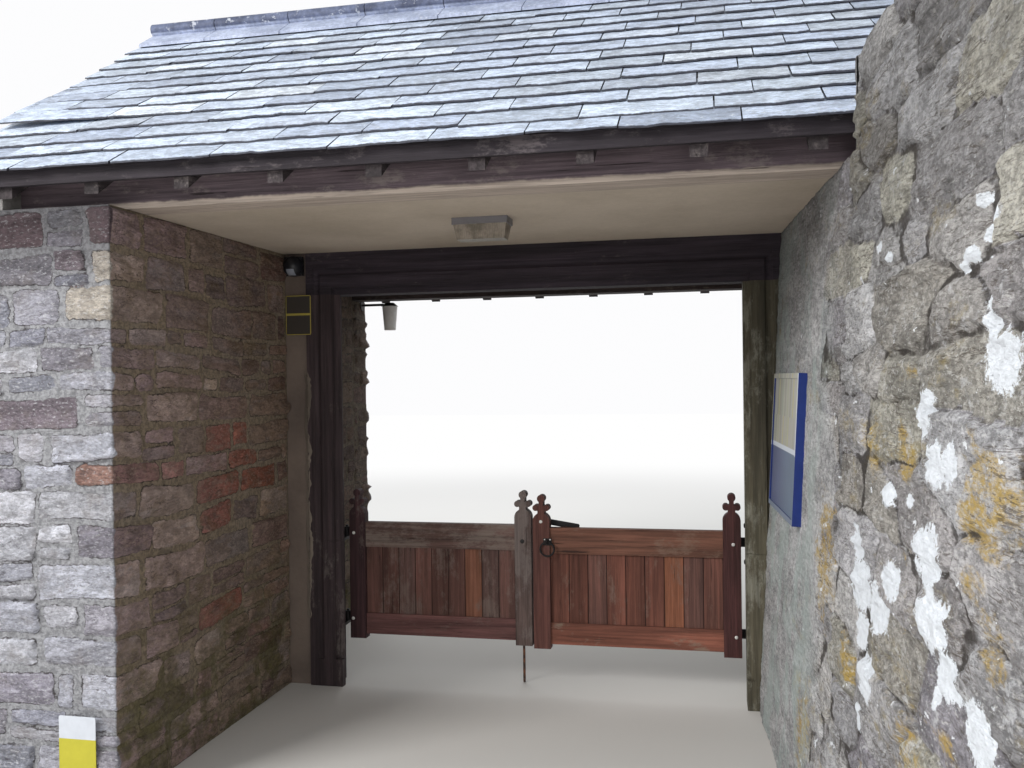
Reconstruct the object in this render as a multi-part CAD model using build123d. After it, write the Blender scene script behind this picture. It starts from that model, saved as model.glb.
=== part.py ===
from build123d import *
from math import cos, radians, tan
import os

# A stone lychgate: two thick walls, a slated roof between gables, a moulded oak gate frame
# and a pair of low boarded gates. X runs to the right and Z up from the ground. Y runs from
# the lane to the churchyard and is measured from the gate line; the finished pieces are moved
# so that the origin lies under the middle of the whole footprint.

# Gate opening, posts and lintel
opening_middle_x = -6.5
opening_half_width = 1085.5
post_front_y = -113.0
post_depth = 160.0
left_post_width = 188.0
right_post_width = 191.0
left_rebate_width = 43.0
left_rebate_depth = 117.0
lintel_underside_z = 2168.0
lintel_height = 250.0

# Scarf joints of the posts
left_scarf_z = 804.0
right_scarf_z = 789.0
right_scarf_step_z = 926.0
right_scarf_step_x = 95.0
scarf_height = 3.0
scarf_depth = 4.0

# Walls
wall_face_y = 1657.0
left_wall_thickness = 736.0
jamb_width = 134.0
jamb_recess = 18.0
left_rear_recess = 197.0
right_rear_recess = 150.0
right_face_offset = 55.0
right_face_splay = 0.063
right_face_batter = 0.055
approach_start_y = -1800.0
approach_length = 1700.0
approach_height = 2700.0
gable_thickness = 250.0

# Roof
roof_pitch = 34.5
ridge_y = -120.0
eaves_overhang = 110.0
eaves_rise = 137.0
verge_overhang = 50.0
slate_bed = 18.0
slate_thickness = 8.0
slate_courses = 14
slate_ridge_gap = 20.0
boarding_thickness = 18.0
apex_gap = 1.0

# Rafters, plates, eaves boards and ridge board
rafter_width = 62.0
rafter_depth = 85.0
rafter_spacing = 390.0
first_rafter_inset = 303.0
rafter_end_setback = 65.0
plate_setback = 107.0
plate_thickness = 150.0
front_plate_height = 170.0
rear_plate_drop = 130.0
plate_end_cover = 50.0
eaves_board_thickness = 22.0
eaves_board_height = 65.0
eaves_board_gap = 0.3
ridge_board_thickness = 32.0
ridge_board_depth = 185.0
ridge_board_gap = 0.3

# Ceiling
ceiling_thickness = 18.0
ceiling_bearing = 60.0

# Ridge tiles
ridge_tile_length = 446.0
first_ridge_tile_length = 401.0
ridge_tile_joint = 5.0
ridge_end_inset = 10.0
ridge_wing_run = 145.0
ridge_tile_thickness = 14.0
ridge_tile_bed = 0.3
ridge_roll_radius = 35.0
ridge_roll_rise = 25.0

# Moulding worked round the inside of the gate frame
arris_hollow_radius = 38.0
groove_offset = 126.0
groove_width = 42.0
groove_depth = 12.0
moulding_stop_z = 150.0

# Gate leaves
leaf_front_y = 62.0
left_hinge_lap = 20.0
right_hinge_gap = 19.0
meeting_line_x = -52.0
meeting_gap = 9.0
stile_width = 93.0
stile_thickness = 60.0
stile_foot_z = 209.0
left_leaf_lift = 15.0
right_leaf_lift = 3.0
left_finial_top_z = 1073.0
right_meeting_top_z = 1053.0
right_hinge_top_z = 1072.0
rail_thickness = 48.0
top_rail_top_z = 869.0
top_rail_height = 140.0
bottom_rail_bottom_z = 234.0
bottom_rail_height = 117.0
panel_thickness = 20.0
panel_recess = 24.0
board_count = 9
board_vee = 4.0

# Finials sawn on the stile tops
finial_height = 145.0
ball_radius = 21.0
upper_neck_width = 24.0
lobe_drop = 71.0
lobe_radius = 17.0
lobe_bar_height = 22.0
lower_neck_width = 38.0
finial_fillet = 3.0

# Hinges
hinge_pin_radius = 8.0
hinge_pin_clearance = 0.3
hinge_pin_offset = 40.0
eye_radius = 15.0
eye_height = 54.0
low_band_rise = 87.0
high_band_drop = 62.0
band_length = 440.0
band_width = 50.0
band_thickness = 6.0
hook_arm_width = 20.0
hook_arm_height = 16.0
hook_pin_rise = 10.0
hook_plate_width = 60.0
hook_plate_height = 110.0
hook_plate_thickness = 6.0
hook_plate_offset = 25.0
seat_gap = 0.3

# Latch bar, its bolt and its keeper
latch_z = 903.0
latch_length = 220.0
latch_width = 32.0
latch_end_radius = 9.0
latch_thickness = 6.0
latch_groove_length = 150.0
latch_groove_width = 8.0
latch_groove_depth = 1.5
latch_standoff = 6.5
latch_rest_droop = 9.0
latch_bolt_radius = 6.0
latch_bolt_clearance = 0.3
latch_head_radius = 11.0
latch_head_thickness = 6.0
latch_washer_radius = 14.0
keeper_width = 40.0
keeper_bottom_drop = 113.0
keeper_top_drop = 49.0
keeper_horn_drop = 10.0
keeper_thickness = 5.0
keeper_gap = 24.0

# Ring handle
ring_radius = 38.0
ring_bar_radius = 5.0
ring_pivot_z = 798.0
ring_offset_x = 35.0
ring_plate_width = 46.0
ring_plate_height = 38.0
ring_plate_thickness = 4.0
staple_radius = 11.0
staple_bar_radius = 4.0
staple_standoff = 8.0

# Drop bolt
bolt_offset_x = -15.0
bolt_rod_radius = 7.0
bolt_rod_clearance = 0.3
bolt_rod_foot_z = 3.0
bolt_standoff = 14.0
bolt_guide_width = 36.0
bolt_guide_depth = 26.0
bolt_guide_height = 24.0
bolt_guide_low_z = 260.0
bolt_guide_high_z = 560.0
bolt_knob_radius = 12.0
bolt_knob_height = 18.0
bolt_peg_radius = 6.0
bolt_peg_length = 55.0
bolt_head_height = 40.0

# Ceiling light
light_x = -68.0
light_y = -925.0
light_length = 250.0
light_width = 120.0
light_base_height = 30.0
light_lens_height = 65.0
light_lens_inset = 6.0
light_lens_draft = 12.0

# Wall lamp behind the gates
lamp_setback = 57.0
lamp_drop = 150.0
lamp_arm_radius = 9.0
lamp_plate_radius = 42.0
lamp_plate_thickness = 8.0
lamp_reach = 218.0
lamp_cap_radius = 62.0
lamp_cap_height = 26.0
lamp_shade_top_radius = 56.0
lamp_shade_foot_radius = 42.0
lamp_shade_height = 175.0

# Sensor at the head of the left jamb
sensor_drop = 70.0
sensor_radius = 58.0
sensor_base_depth = 30.0
sensor_base_size = 104.0

# Notice board on the right wall
board_far_y = -340.0
board_length = 735.0
board_bottom_z = 1081.0
board_height = 615.0
board_depth = 37.0
board_frame_width = 22.0
board_glass_recess = 6.0
board_seat_gap = 0.3

# How far a cutting block runs past the faces it cuts
overrun = 1.0

# Values that follow from the sizes above
pitch_tan = tan(radians(roof_pitch))
pitch_cos = cos(radians(roof_pitch))
post_back_y = post_front_y + post_depth
ceiling_top_z = lintel_underside_z + lintel_height
wall_head_z = ceiling_top_z - ceiling_thickness
opening_left_x = opening_middle_x - opening_half_width
opening_right_x = opening_middle_x + opening_half_width
left_post_outer_x = opening_left_x - left_post_width
right_post_outer_x = opening_right_x + right_post_width
left_wall_inner_x = left_post_outer_x - jamb_width
left_rear_inner_x = left_wall_inner_x - left_rear_recess
right_rear_inner_x = right_post_outer_x + right_rear_recess
right_face_x = opening_right_x + right_face_offset
wall_outer_x = left_wall_thickness - left_wall_inner_x
eave_y = wall_face_y + eaves_overhang
front_eave_z = wall_head_z + eaves_rise
verge_x = wall_outer_x + verge_overhang
ridge_end_x = verge_x - ridge_end_inset
approach_end_y = approach_start_y - approach_length
gate_line_y = -(approach_end_y + eave_y) / 2
rafter_top = slate_bed + boarding_thickness
rafter_foot = rafter_top + rafter_depth
first_rafter_x = first_rafter_inset - wall_outer_x
rafter_count = int(2 * (wall_outer_x - first_rafter_inset) / rafter_spacing) + 1
rafter_end_y = eave_y - rafter_end_setback
plate_outer_y = wall_face_y - plate_setback
plate_inner_y = plate_outer_y - plate_thickness
rear_plate_bottom_z = wall_head_z - rear_plate_drop
leaf_back_y = leaf_front_y + stile_thickness
left_hinge_edge_x = opening_left_x - left_hinge_lap
right_hinge_edge_x = opening_right_x - right_hinge_gap
left_meeting_edge_x = meeting_line_x - meeting_gap / 2
right_meeting_edge_x = meeting_line_x + meeting_gap / 2
pin_y = leaf_back_y + band_thickness / 2
band_heights = (bottom_rail_bottom_z + low_band_rise, top_rail_top_z - high_band_drop)
latch_x = right_meeting_edge_x + stile_width / 2
latch_front_y = leaf_back_y + latch_standoff
keeper_x = left_meeting_edge_x - stile_width / 2
keeper_top_z = latch_z - keeper_top_drop
bolt_x = keeper_x + bolt_offset_x
lamp_y = wall_face_y - lamp_setback
lamp_arm_z = wall_head_z - lamp_drop
sensor_z = wall_head_z - sensor_drop


def save(name, shape):
    """Write one piece, moved from the gate line's frame to the part's own frame."""
    export_step(Pos(0, gate_line_y, 0) * shape, "parts/" + name + ".step")


def block(x0, x1, y0, y1, z0, z1):
    """A plain block between two corners."""
    middle = Pos((x0 + x1) / 2, (y0 + y1) / 2, (z0 + z1) / 2)
    return middle * Box(abs(x1 - x0), abs(y1 - y0), abs(z1 - z0))


def prism_x(points, x0, x1):
    """A profile given as (y, z) points, drawn out along X."""
    face = Plane.YZ.offset(x0) * make_face(Polyline(*points, close=True))
    return extrude(face, amount=x1 - x0)


def rod_z(x, y, z0, z1, radius):
    """An upright round bar."""
    return Pos(x, y, (z0 + z1) / 2) * Cylinder(radius, z1 - z0)


def rod_y(x, z, y0, y1, radius):
    """A round bar along Y."""
    return Pos(x, (y0 + y1) / 2, z) * Rot(90, 0, 0) * Cylinder(radius, y1 - y0)


def slope_run(side):
    """Horizontal distance from a slope's eave to the ridge; side is -1 in front and 1 behind."""
    return eave_y - side * ridge_y


def slope_point(side, run, depth):
    """The (y, z) point at a horizontal run from the eave and a depth below the slates' face."""
    eave_z = front_eave_z + (slope_run(-1) - slope_run(side)) * pitch_tan
    return (side * (eave_y - run), eave_z + run * pitch_tan - depth / pitch_cos)


def slope_slab(side, top, bottom, run0, run1, x0, x1):
    """A layer of the roof between two depths, cut plumb at both ends."""
    corners = [(run0, bottom), (run0, top), (run1, top), (run1, bottom)]
    return prism_x([slope_point(side, run, depth) for run, depth in corners], x0, x1)


# Masonry
def wall_plate(side):
    """The beam on the wall heads that carries the rafter feet."""
    half_length = wall_outer_x - plate_end_cover
    if side < 0:
        z0, z1 = wall_head_z, wall_head_z + front_plate_height
    else:
        z0, z1 = rear_plate_bottom_z, wall_head_z
    return block(-half_length, half_length, side * plate_inner_y, side * plate_outer_y, z0, z1)


def right_wall_face():
    """The splayed and battered plane of the right wall's face; its normal points into the wall."""
    return Plane(origin=(right_face_x, 0, 0), z_dir=(1, right_face_splay, -right_face_batter))


def left_wall():
    return block(-wall_outer_x, left_wall_inner_x, -wall_face_y, post_back_y, 0, wall_head_z)


def rear_wall(x0, x1):
    """A wall behind the gate, with its head stepped down under the rear plate and the rafter feet."""
    step = block(
        x0 - overrun, x1 + overrun, plate_inner_y, wall_face_y + overrun,
        rear_plate_bottom_z, wall_head_z + overrun,
    )
    return block(x0, x1, post_back_y, wall_face_y, 0, wall_head_z) - step


def right_wall():
    """The wall beside the passage, built round the right post."""
    mass = block(opening_right_x, wall_outer_x, approach_start_y, post_back_y, 0, wall_head_z)
    mass = split(mass, bisect_by=right_wall_face(), keep=Keep.TOP)
    pocket = block(
        opening_right_x - overrun, right_post_outer_x, post_front_y, post_back_y + overrun,
        -overrun, wall_head_z + overrun,
    )
    return mass - pocket


def approach_wall():
    """The higher churchyard wall that runs on from the right wall beside the lane."""
    mass = block(opening_right_x, wall_outer_x, approach_end_y, approach_start_y, 0, approach_height)
    return split(mass, bisect_by=right_wall_face(), keep=Keep.TOP)


def gable(side):
    """The masonry between a wall head and the roof boarding; side is -1 at the left."""
    points = [(-wall_face_y, wall_head_z)]
    points.append(slope_point(-1, eave_y - wall_face_y, rafter_top))
    points.append(slope_point(-1, slope_run(-1), rafter_top))
    points.append(slope_point(1, eave_y - wall_face_y, rafter_top))
    points += [(wall_face_y, rear_plate_bottom_z), (plate_inner_y, rear_plate_bottom_z)]
    points.append((plate_inner_y, wall_head_z))
    x0, x1 = sorted((side * wall_outer_x, side * (wall_outer_x - gable_thickness)))
    return prism_x(points, x0, x1) - wall_plate(-1) - wall_plate(1)


def jamb():
    """The plastered strip between the left wall and the left post."""
    front = post_front_y + jamb_recess
    return block(left_wall_inner_x, left_post_outer_x, front, post_back_y, 0, wall_head_z)


# Roof
def rafter(side, x):
    """One rafter with plumb ends, notched over its wall plate."""
    run0 = eave_y - rafter_end_y
    run1 = slope_run(side) - ridge_board_thickness / 2
    half = rafter_width / 2
    return slope_slab(side, rafter_top, rafter_foot, run0, run1, x - half, x + half) - wall_plate(side)


def rafters():
    places = [first_rafter_x + rafter_spacing * i for i in range(rafter_count)]
    return Compound([rafter(side, x) for side in (-1, 1) for x in places])


def ridge_board():
    half_length = wall_outer_x - gable_thickness
    half = ridge_board_thickness / 2
    top = slope_point(-1, slope_run(-1) - half, rafter_top)[1] - ridge_board_gap
    return block(-half_length, half_length, ridge_y - half, ridge_y + half, top - ridge_board_depth, top)


def eaves_board(side):
    """The upright board over the rafter ends, below the lowest slates."""
    outer = rafter_end_y + eaves_board_thickness
    top = slope_point(side, eave_y - outer, slate_bed)[1] - eaves_board_gap
    inner_y = side * rafter_end_y
    return block(-wall_outer_x, wall_outer_x, inner_y, side * outer, top - eaves_board_height, top)


def roof_boarding(side):
    run0 = eave_y - rafter_end_y
    run1 = slope_run(side) - apex_gap
    return slope_slab(side, slate_bed, rafter_top, run0, run1, -wall_outer_x, wall_outer_x)


def slates(side):
    """A slope of slates as stepped courses, each one lapping over the course below it."""
    gauge = (slope_run(side) - slate_ridge_gap) / slate_courses
    points = [slope_point(side, 0, slate_bed)]
    for course in range(slate_courses):
        points.append(slope_point(side, course * gauge, 0))
        points.append(slope_point(side, (course + 1) * gauge, slate_thickness))
    points.append(slope_point(side, slate_courses * gauge, slate_bed))
    return prism_x(points, -verge_x, verge_x)


def ridge_tile_profile():
    """The (y, z) section of a wing and roll ridge tile."""
    lift = ridge_tile_bed + ridge_tile_thickness
    apex_run = slope_run(-1)
    foot_runs = {side: slope_run(side) - ridge_wing_run for side in (-1, 1)}
    points = [slope_point(-1, foot_runs[-1], -ridge_tile_bed), slope_point(-1, foot_runs[-1], -lift)]
    points.append(slope_point(-1, apex_run, -lift))
    points += [slope_point(1, foot_runs[1], -lift), slope_point(1, foot_runs[1], -ridge_tile_bed)]
    points.append(slope_point(-1, apex_run, -ridge_tile_bed))
    roll_z = slope_point(-1, apex_run, -lift)[1] + ridge_roll_rise
    wings = make_face(Polyline(*points, close=True))
    neck = Pos(ridge_y, roll_z - ridge_roll_rise / 2) * Rectangle(ridge_roll_radius, ridge_roll_rise)
    return wings + neck + Pos(ridge_y, roll_z) * Circle(ridge_roll_radius)


def ridge_tiles():
    """A short tile at the left verge, whole tiles, and a cut one to finish at the right."""
    profile = ridge_tile_profile()
    tiles = []
    x = -ridge_end_x
    length = first_ridge_tile_length
    while x < ridge_end_x - ridge_tile_joint:
        end = min(x + length, ridge_end_x)
        tiles.append(extrude(Plane.YZ.offset(x) * profile, amount=end - x - ridge_tile_joint))
        x = end
        length = ridge_tile_length
    return Compound(tiles)


def ceiling():
    """Flat plaster on the wall heads, in front of the lintel and behind it."""
    left = left_wall_inner_x - ceiling_bearing
    right = right_rear_inner_x + ceiling_bearing
    front = block(left, right, -plate_inner_y, post_front_y, wall_head_z, ceiling_top_z)
    rear_left = left_rear_inner_x - ceiling_bearing
    rear = block(rear_left, right, post_back_y, plate_inner_y, wall_head_z, ceiling_top_z)
    return Compound([front, rear])


# Gate frame
def frame_path(offset, foot_z):
    """A line up the left post, along the lintel and down the right post, offset into the wood."""
    left = opening_left_x - offset
    right = opening_right_x + offset
    z = lintel_underside_z + offset
    corners = [(left, foot_z), (left, z), (right, z), (right, foot_z)]
    return Wire(Polyline(*[(x, post_front_y, height) for x, height in corners]).edges())


def frame_moulding():
    """The cutters of the moulding: a hollow on the arris and a shallow groove outside it."""
    hollow_start = Pos(opening_left_x, post_front_y, moulding_stop_z)
    hollow_path = frame_path(0, moulding_stop_z)
    hollow = sweep(hollow_start * Circle(arris_hollow_radius), path=hollow_path, transition=Transition.RIGHT)
    half = groove_width / 2
    radius = (half ** 2 + groove_depth ** 2) / (2 * groove_depth)
    groove_start = Pos(opening_left_x - groove_offset, post_front_y - radius + groove_depth, moulding_stop_z)
    groove_path = frame_path(groove_offset, moulding_stop_z)
    groove = sweep(groove_start * Circle(radius), path=groove_path, transition=Transition.RIGHT)
    return hollow, groove


def scarf_kerf(inner_x, outer_x, z):
    """The open line of a scarf joint round a post's front, its hollow and its reveal."""
    z0 = z - scarf_height / 2
    z1 = z + scarf_height / 2
    outward = 1 if outer_x > inner_x else -1
    front = block(inner_x, outer_x, post_front_y - overrun, post_front_y + scarf_depth, z0, z1)
    hollow = rod_z(inner_x, post_front_y, z0, z1, arris_hollow_radius + scarf_depth)
    reveal_x = inner_x - outward * overrun
    reveal = block(reveal_x, inner_x + outward * scarf_depth, post_front_y, post_back_y + overrun, z0, z1)
    return front + hollow + reveal


def left_post(cutters):
    """The left post, rebated at the back of its reveal."""
    post = block(left_post_outer_x, opening_left_x, post_front_y, post_back_y, 0, lintel_underside_z)
    kerf = scarf_kerf(opening_left_x, left_post_outer_x, left_scarf_z)
    rebate = block(
        opening_left_x - left_rebate_width, opening_left_x + overrun,
        post_back_y - left_rebate_depth, post_back_y + overrun, -overrun, lintel_underside_z + overrun,
    )
    return post - cutters[0] - cutters[1] - rebate - kerf


def right_post(cutters):
    """The right post, with the stepped line of its scarf joint."""
    post = block(opening_right_x, right_post_outer_x, post_front_y, post_back_y, 0, lintel_underside_z)
    kerf = scarf_kerf(opening_right_x, right_post_outer_x, right_scarf_z)
    step = block(
        opening_right_x + right_scarf_step_x, right_post_outer_x,
        post_front_y - overrun, post_front_y + scarf_depth,
        right_scarf_step_z - scarf_height / 2, right_scarf_step_z + scarf_height / 2,
    )
    return post - cutters[0] - cutters[1] - step - kerf


def lintel(cutters):
    beam = block(
        left_post_outer_x, right_post_outer_x, post_front_y, post_back_y, lintel_underside_z, ceiling_top_z
    )
    return beam - cutters[0] - cutters[1]


# Gate leaves
def stile_outline(foot_z, top_z):
    """A stile's front view about its centre line: round shoulders, necks, side lobes and a ball."""
    half = stile_width / 2
    shoulder_z = top_z - finial_height
    ball_z = top_z - ball_radius
    lobe_z = top_z - lobe_drop
    shank = Pos(0, (foot_z + shoulder_z) / 2) * Rectangle(stile_width, shoulder_z - foot_z)
    shoulders = Pos(0, shoulder_z) * Circle(half)
    lower_neck = Pos(0, (shoulder_z + lobe_z) / 2) * Rectangle(lower_neck_width, lobe_z - shoulder_z)
    upper_neck = Pos(0, (lobe_z + ball_z) / 2) * Rectangle(upper_neck_width, ball_z - lobe_z)
    lobe_x = half - lobe_radius
    bar = Pos(0, lobe_z) * Rectangle(2 * lobe_x, lobe_bar_height)
    lobes = Pos(-lobe_x, lobe_z) * Circle(lobe_radius) + Pos(lobe_x, lobe_z) * Circle(lobe_radius)
    return shank + shoulders + lower_neck + upper_neck + bar + lobes + Pos(0, ball_z) * Circle(ball_radius)


def stile(x, foot_z, top_z):
    """A stile, drawn out from its front face to its back, with the finial's inner corners eased."""
    front = Plane(origin=(x, leaf_front_y, 0), x_dir=(1, 0, 0), z_dir=(0, -1, 0))
    body = extrude(front * stile_outline(foot_z, top_z), amount=-stile_thickness)
    finial_z = top_z - finial_height + stile_width / 4
    corners = [e for e in body.edges().filter_by(Axis.Y) if e.center().Z > finial_z]
    return fillet(corners, finial_fillet)


def rail(x0, x1, z0, height):
    """A rail between the stiles, flush with their backs."""
    return block(x0, x1, leaf_back_y - rail_thickness, leaf_back_y, z0, z0 + height)


def boards(x0, x1):
    """The boarded panel between the rails, with vee joints on both faces."""
    front = leaf_front_y + panel_recess
    back = front + panel_thickness
    bottom = bottom_rail_bottom_z + bottom_rail_height
    top = top_rail_top_z - top_rail_height
    panel = block(x0, x1, front, back, bottom, top)
    board_width = (x1 - x0) / board_count
    for joint in range(1, board_count):
        x = x0 + joint * board_width
        for y in (front, back):
            vee = Pos(x, y, (bottom + top) / 2) * Rot(0, 0, 45)
            panel -= vee * Box(board_vee, board_vee, top - bottom + 2 * overrun)
    return panel


def hinge_bands(pin_x, side):
    """Two straps on a leaf's back, each rolled into an eye round its pin; side points to the leaf."""
    bands = []
    for z in band_heights:
        end_x = pin_x + side * (hinge_pin_offset + band_length)
        strap = block(
            pin_x, end_x, leaf_back_y, leaf_back_y + band_thickness, z - band_width / 2, z + band_width / 2
        )
        eye = rod_z(pin_x, pin_y, z - eye_height / 2, z + eye_height / 2, eye_radius)
        bore = rod_z(pin_x, pin_y, z - eye_height, z + eye_height, hinge_pin_radius + hinge_pin_clearance)
        bands.append(strap + eye - bore)
    return Compound(bands)


def hinge_hooks(pin_x, side):
    """Two hooks on a post's back: a plate, an arm and an upright pin; side points to the leaf."""
    hooks = []
    for z in band_heights:
        arm_top = z - eye_height / 2 - seat_gap
        arm_bottom = arm_top - hook_arm_height
        half = hook_arm_width / 2
        arm = block(pin_x - half, pin_x + half, post_back_y, pin_y + half, arm_bottom, arm_top)
        pin = rod_z(pin_x, pin_y, arm_bottom, z + eye_height / 2 + hook_pin_rise, hinge_pin_radius)
        plate_x = pin_x - side * hook_plate_offset
        plate_z = arm_bottom + hook_arm_height / 2
        plate = block(
            plate_x - hook_plate_width / 2, plate_x + hook_plate_width / 2,
            post_back_y, post_back_y + hook_plate_thickness,
            plate_z - hook_plate_height / 2, plate_z + hook_plate_height / 2,
        )
        hooks.append(arm + pin + plate)
    return Compound(hooks)


# Latch, ring and drop bolt
def latch_bar():
    """The flip-over bar, which lies along the right leaf at rest and droops a little."""
    middle = Pos((latch_length - latch_width) / 2, 0)
    outline = middle * RectangleRounded(latch_length, latch_width, latch_end_radius)
    face = outline - Circle(latch_bolt_radius + latch_bolt_clearance)
    groove = middle * SlotOverall(latch_groove_length, latch_groove_width)
    bar = extrude(Plane.XZ * face, amount=-latch_thickness)
    bar -= extrude(Plane.XZ * groove, amount=-latch_groove_depth)
    return Pos(latch_x, latch_front_y, latch_z) * Rot(0, latch_rest_droop, 0) * bar


def latch_bolt():
    """The bolt that carries the bar, with a washer before it and a head behind."""
    washer = rod_y(latch_x, latch_z, leaf_back_y, latch_front_y - seat_gap, latch_washer_radius)
    back = latch_front_y + latch_thickness + seat_gap
    shank = rod_y(latch_x, latch_z, leaf_back_y, back + latch_head_thickness, latch_bolt_radius)
    head = rod_y(latch_x, latch_z, back, back + latch_head_thickness, latch_head_radius)
    return washer + shank + head


def latch_keeper():
    """The hooked plate on the left leaf that receives the bar."""
    x0 = keeper_x - keeper_width / 2
    x1 = keeper_x + keeper_width / 2
    horn_back = leaf_back_y + keeper_gap
    seat_bottom_z = keeper_top_z - keeper_thickness
    plate = block(
        x0, x1, leaf_back_y, leaf_back_y + keeper_thickness, latch_z - keeper_bottom_drop, keeper_top_z
    )
    seat = block(x0, x1, leaf_back_y, horn_back, seat_bottom_z, keeper_top_z)
    horn = block(
        x0, x1, horn_back - keeper_thickness, horn_back, seat_bottom_z, latch_z - keeper_horn_drop
    )
    return plate + seat + horn


def ring_place():
    """The point on the ring's top about which it swings."""
    return (latch_x + ring_offset_x, leaf_front_y - ring_plate_thickness - staple_standoff, ring_pivot_z)


def ring_plate():
    """The plate of the ring handle with its staple."""
    x, y, z = ring_place()
    front = leaf_front_y - ring_plate_thickness
    half = ring_plate_width / 2
    plate = block(x - half, x + half, front, leaf_front_y, z - ring_plate_height / 2, z + ring_plate_height / 2)
    loop_z = z + staple_radius - staple_bar_radius - ring_bar_radius - seat_gap
    loop = Pos(x, y, loop_z) * Rot(0, 90, 0) * Torus(staple_radius, staple_bar_radius)
    reach = 2 * (staple_radius + staple_bar_radius)
    return plate + (loop & block(x - reach, x + reach, y - reach, front + overrun, z - reach, z + reach))


def ring_handle():
    x, y, z = ring_place()
    return Pos(x, y, z - ring_radius) * Rot(90, 0, 0) * Torus(ring_radius, ring_bar_radius)


def bolt_guides():
    """Two guides on the left meeting stile's back, bored for the drop bolt."""
    rod_axis_y = leaf_back_y + bolt_standoff
    half = bolt_guide_width / 2
    guides = []
    for z in (bolt_guide_low_z, bolt_guide_high_z):
        body = block(
            bolt_x - half, bolt_x + half, leaf_back_y, leaf_back_y + bolt_guide_depth, z, z + bolt_guide_height
        )
        bore_top = z + bolt_guide_height + overrun
        bore = rod_z(bolt_x, rod_axis_y, z - overrun, bore_top, bolt_rod_radius + bolt_rod_clearance)
        guides.append(body - bore)
    return Compound(guides)


def drop_bolt():
    """The round bolt that holds the left leaf: a rod, a collar on the upper guide and a peg to lift it."""
    rod_axis_y = leaf_back_y + bolt_standoff
    collar_z = bolt_guide_high_z + bolt_guide_height + seat_gap
    top = collar_z + bolt_head_height
    rod = rod_z(bolt_x, rod_axis_y, bolt_rod_foot_z, top, bolt_rod_radius)
    collar = rod_z(bolt_x, rod_axis_y, collar_z, collar_z + bolt_knob_height, bolt_knob_radius)
    peg_z = top - bolt_peg_radius
    peg = rod_y(bolt_x, peg_z, rod_axis_y, rod_axis_y + bolt_peg_length, bolt_peg_radius)
    return rod + collar + peg


# Lights and notice board
def light_base():
    half_x = light_length / 2
    half_y = light_width / 2
    return block(
        light_x - half_x, light_x + half_x, light_y - half_y, light_y + half_y,
        wall_head_z - light_base_height, wall_head_z,
    )


def light_lens():
    """The moulded lens below the base, narrower at its foot."""
    top = Rectangle(light_length - 2 * light_lens_inset, light_width - 2 * light_lens_inset)
    inset = light_lens_inset + light_lens_draft
    foot = Rectangle(light_length - 2 * inset, light_width - 2 * inset)
    seat_z = wall_head_z - light_base_height
    place = Pos(light_x, light_y, seat_z)
    return loft([place * top, place * Pos(0, 0, -light_lens_height) * foot])


def lamp_bracket():
    """The wall plate, the arm and the cap over the shade."""
    along_x = Rot(0, 90, 0)
    plate_place = Pos(left_rear_inner_x + lamp_plate_thickness / 2, lamp_y, lamp_arm_z)
    arm_place = Pos(left_rear_inner_x + lamp_reach / 2, lamp_y, lamp_arm_z)
    cap_place = Pos(left_rear_inner_x + lamp_reach, lamp_y, lamp_arm_z)
    plate = plate_place * along_x * Cylinder(lamp_plate_radius, lamp_plate_thickness)
    arm = arm_place * along_x * Cylinder(lamp_arm_radius, lamp_reach)
    return plate + arm + cap_place * Cone(lamp_cap_radius, lamp_cap_radius / 2, lamp_cap_height)


def lamp_shade():
    """The closed tapered shade under the cap."""
    top = lamp_arm_z - lamp_cap_height / 2
    place = Pos(left_rear_inner_x + lamp_reach, lamp_y, top - lamp_shade_height / 2)
    return place * Cone(lamp_shade_foot_radius, lamp_shade_top_radius, lamp_shade_height)


def sensor():
    """A square back box on the jamb with a round head in front."""
    back = post_front_y + jamb_recess
    x = (left_wall_inner_x + left_post_outer_x) / 2
    half = sensor_base_size / 2
    box = block(x - half, x + half, back - sensor_base_depth, back, sensor_z - half, sensor_z + half)
    room = block(x - sensor_radius, x + sensor_radius, back - 2 * sensor_radius, back, 0, wall_head_z)
    return box + (Pos(x, back - sensor_base_depth, sensor_z) * Sphere(sensor_radius) & room)


def board_plane():
    """The notice board's own plane: x along the wall towards the gate, y up it, z out of the wall."""
    up = Vector(right_face_batter, 0, 1).normalized()
    along = Vector(-right_face_splay, 1, 0).normalized()
    out = up.cross(along).normalized()
    face_x = right_face_x - right_face_splay * board_far_y + right_face_batter * board_bottom_z
    corner = Vector(face_x, board_far_y, board_bottom_z) + out * board_seat_gap
    return Plane(origin=corner, x_dir=along * -1, z_dir=out)


def notice_board():
    """The frame of the notice board and the panel inside it."""
    plane = board_plane()
    middle = Pos(board_length / 2, board_height / 2)
    outer = middle * Rectangle(board_length, board_height)
    inner_size = (board_length - 2 * board_frame_width, board_height - 2 * board_frame_width)
    inner = middle * Rectangle(*inner_size)
    frame = extrude(plane * (outer - inner), amount=board_depth)
    panel = extrude(plane * inner, amount=board_depth - board_glass_recess)
    return frame, panel


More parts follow.
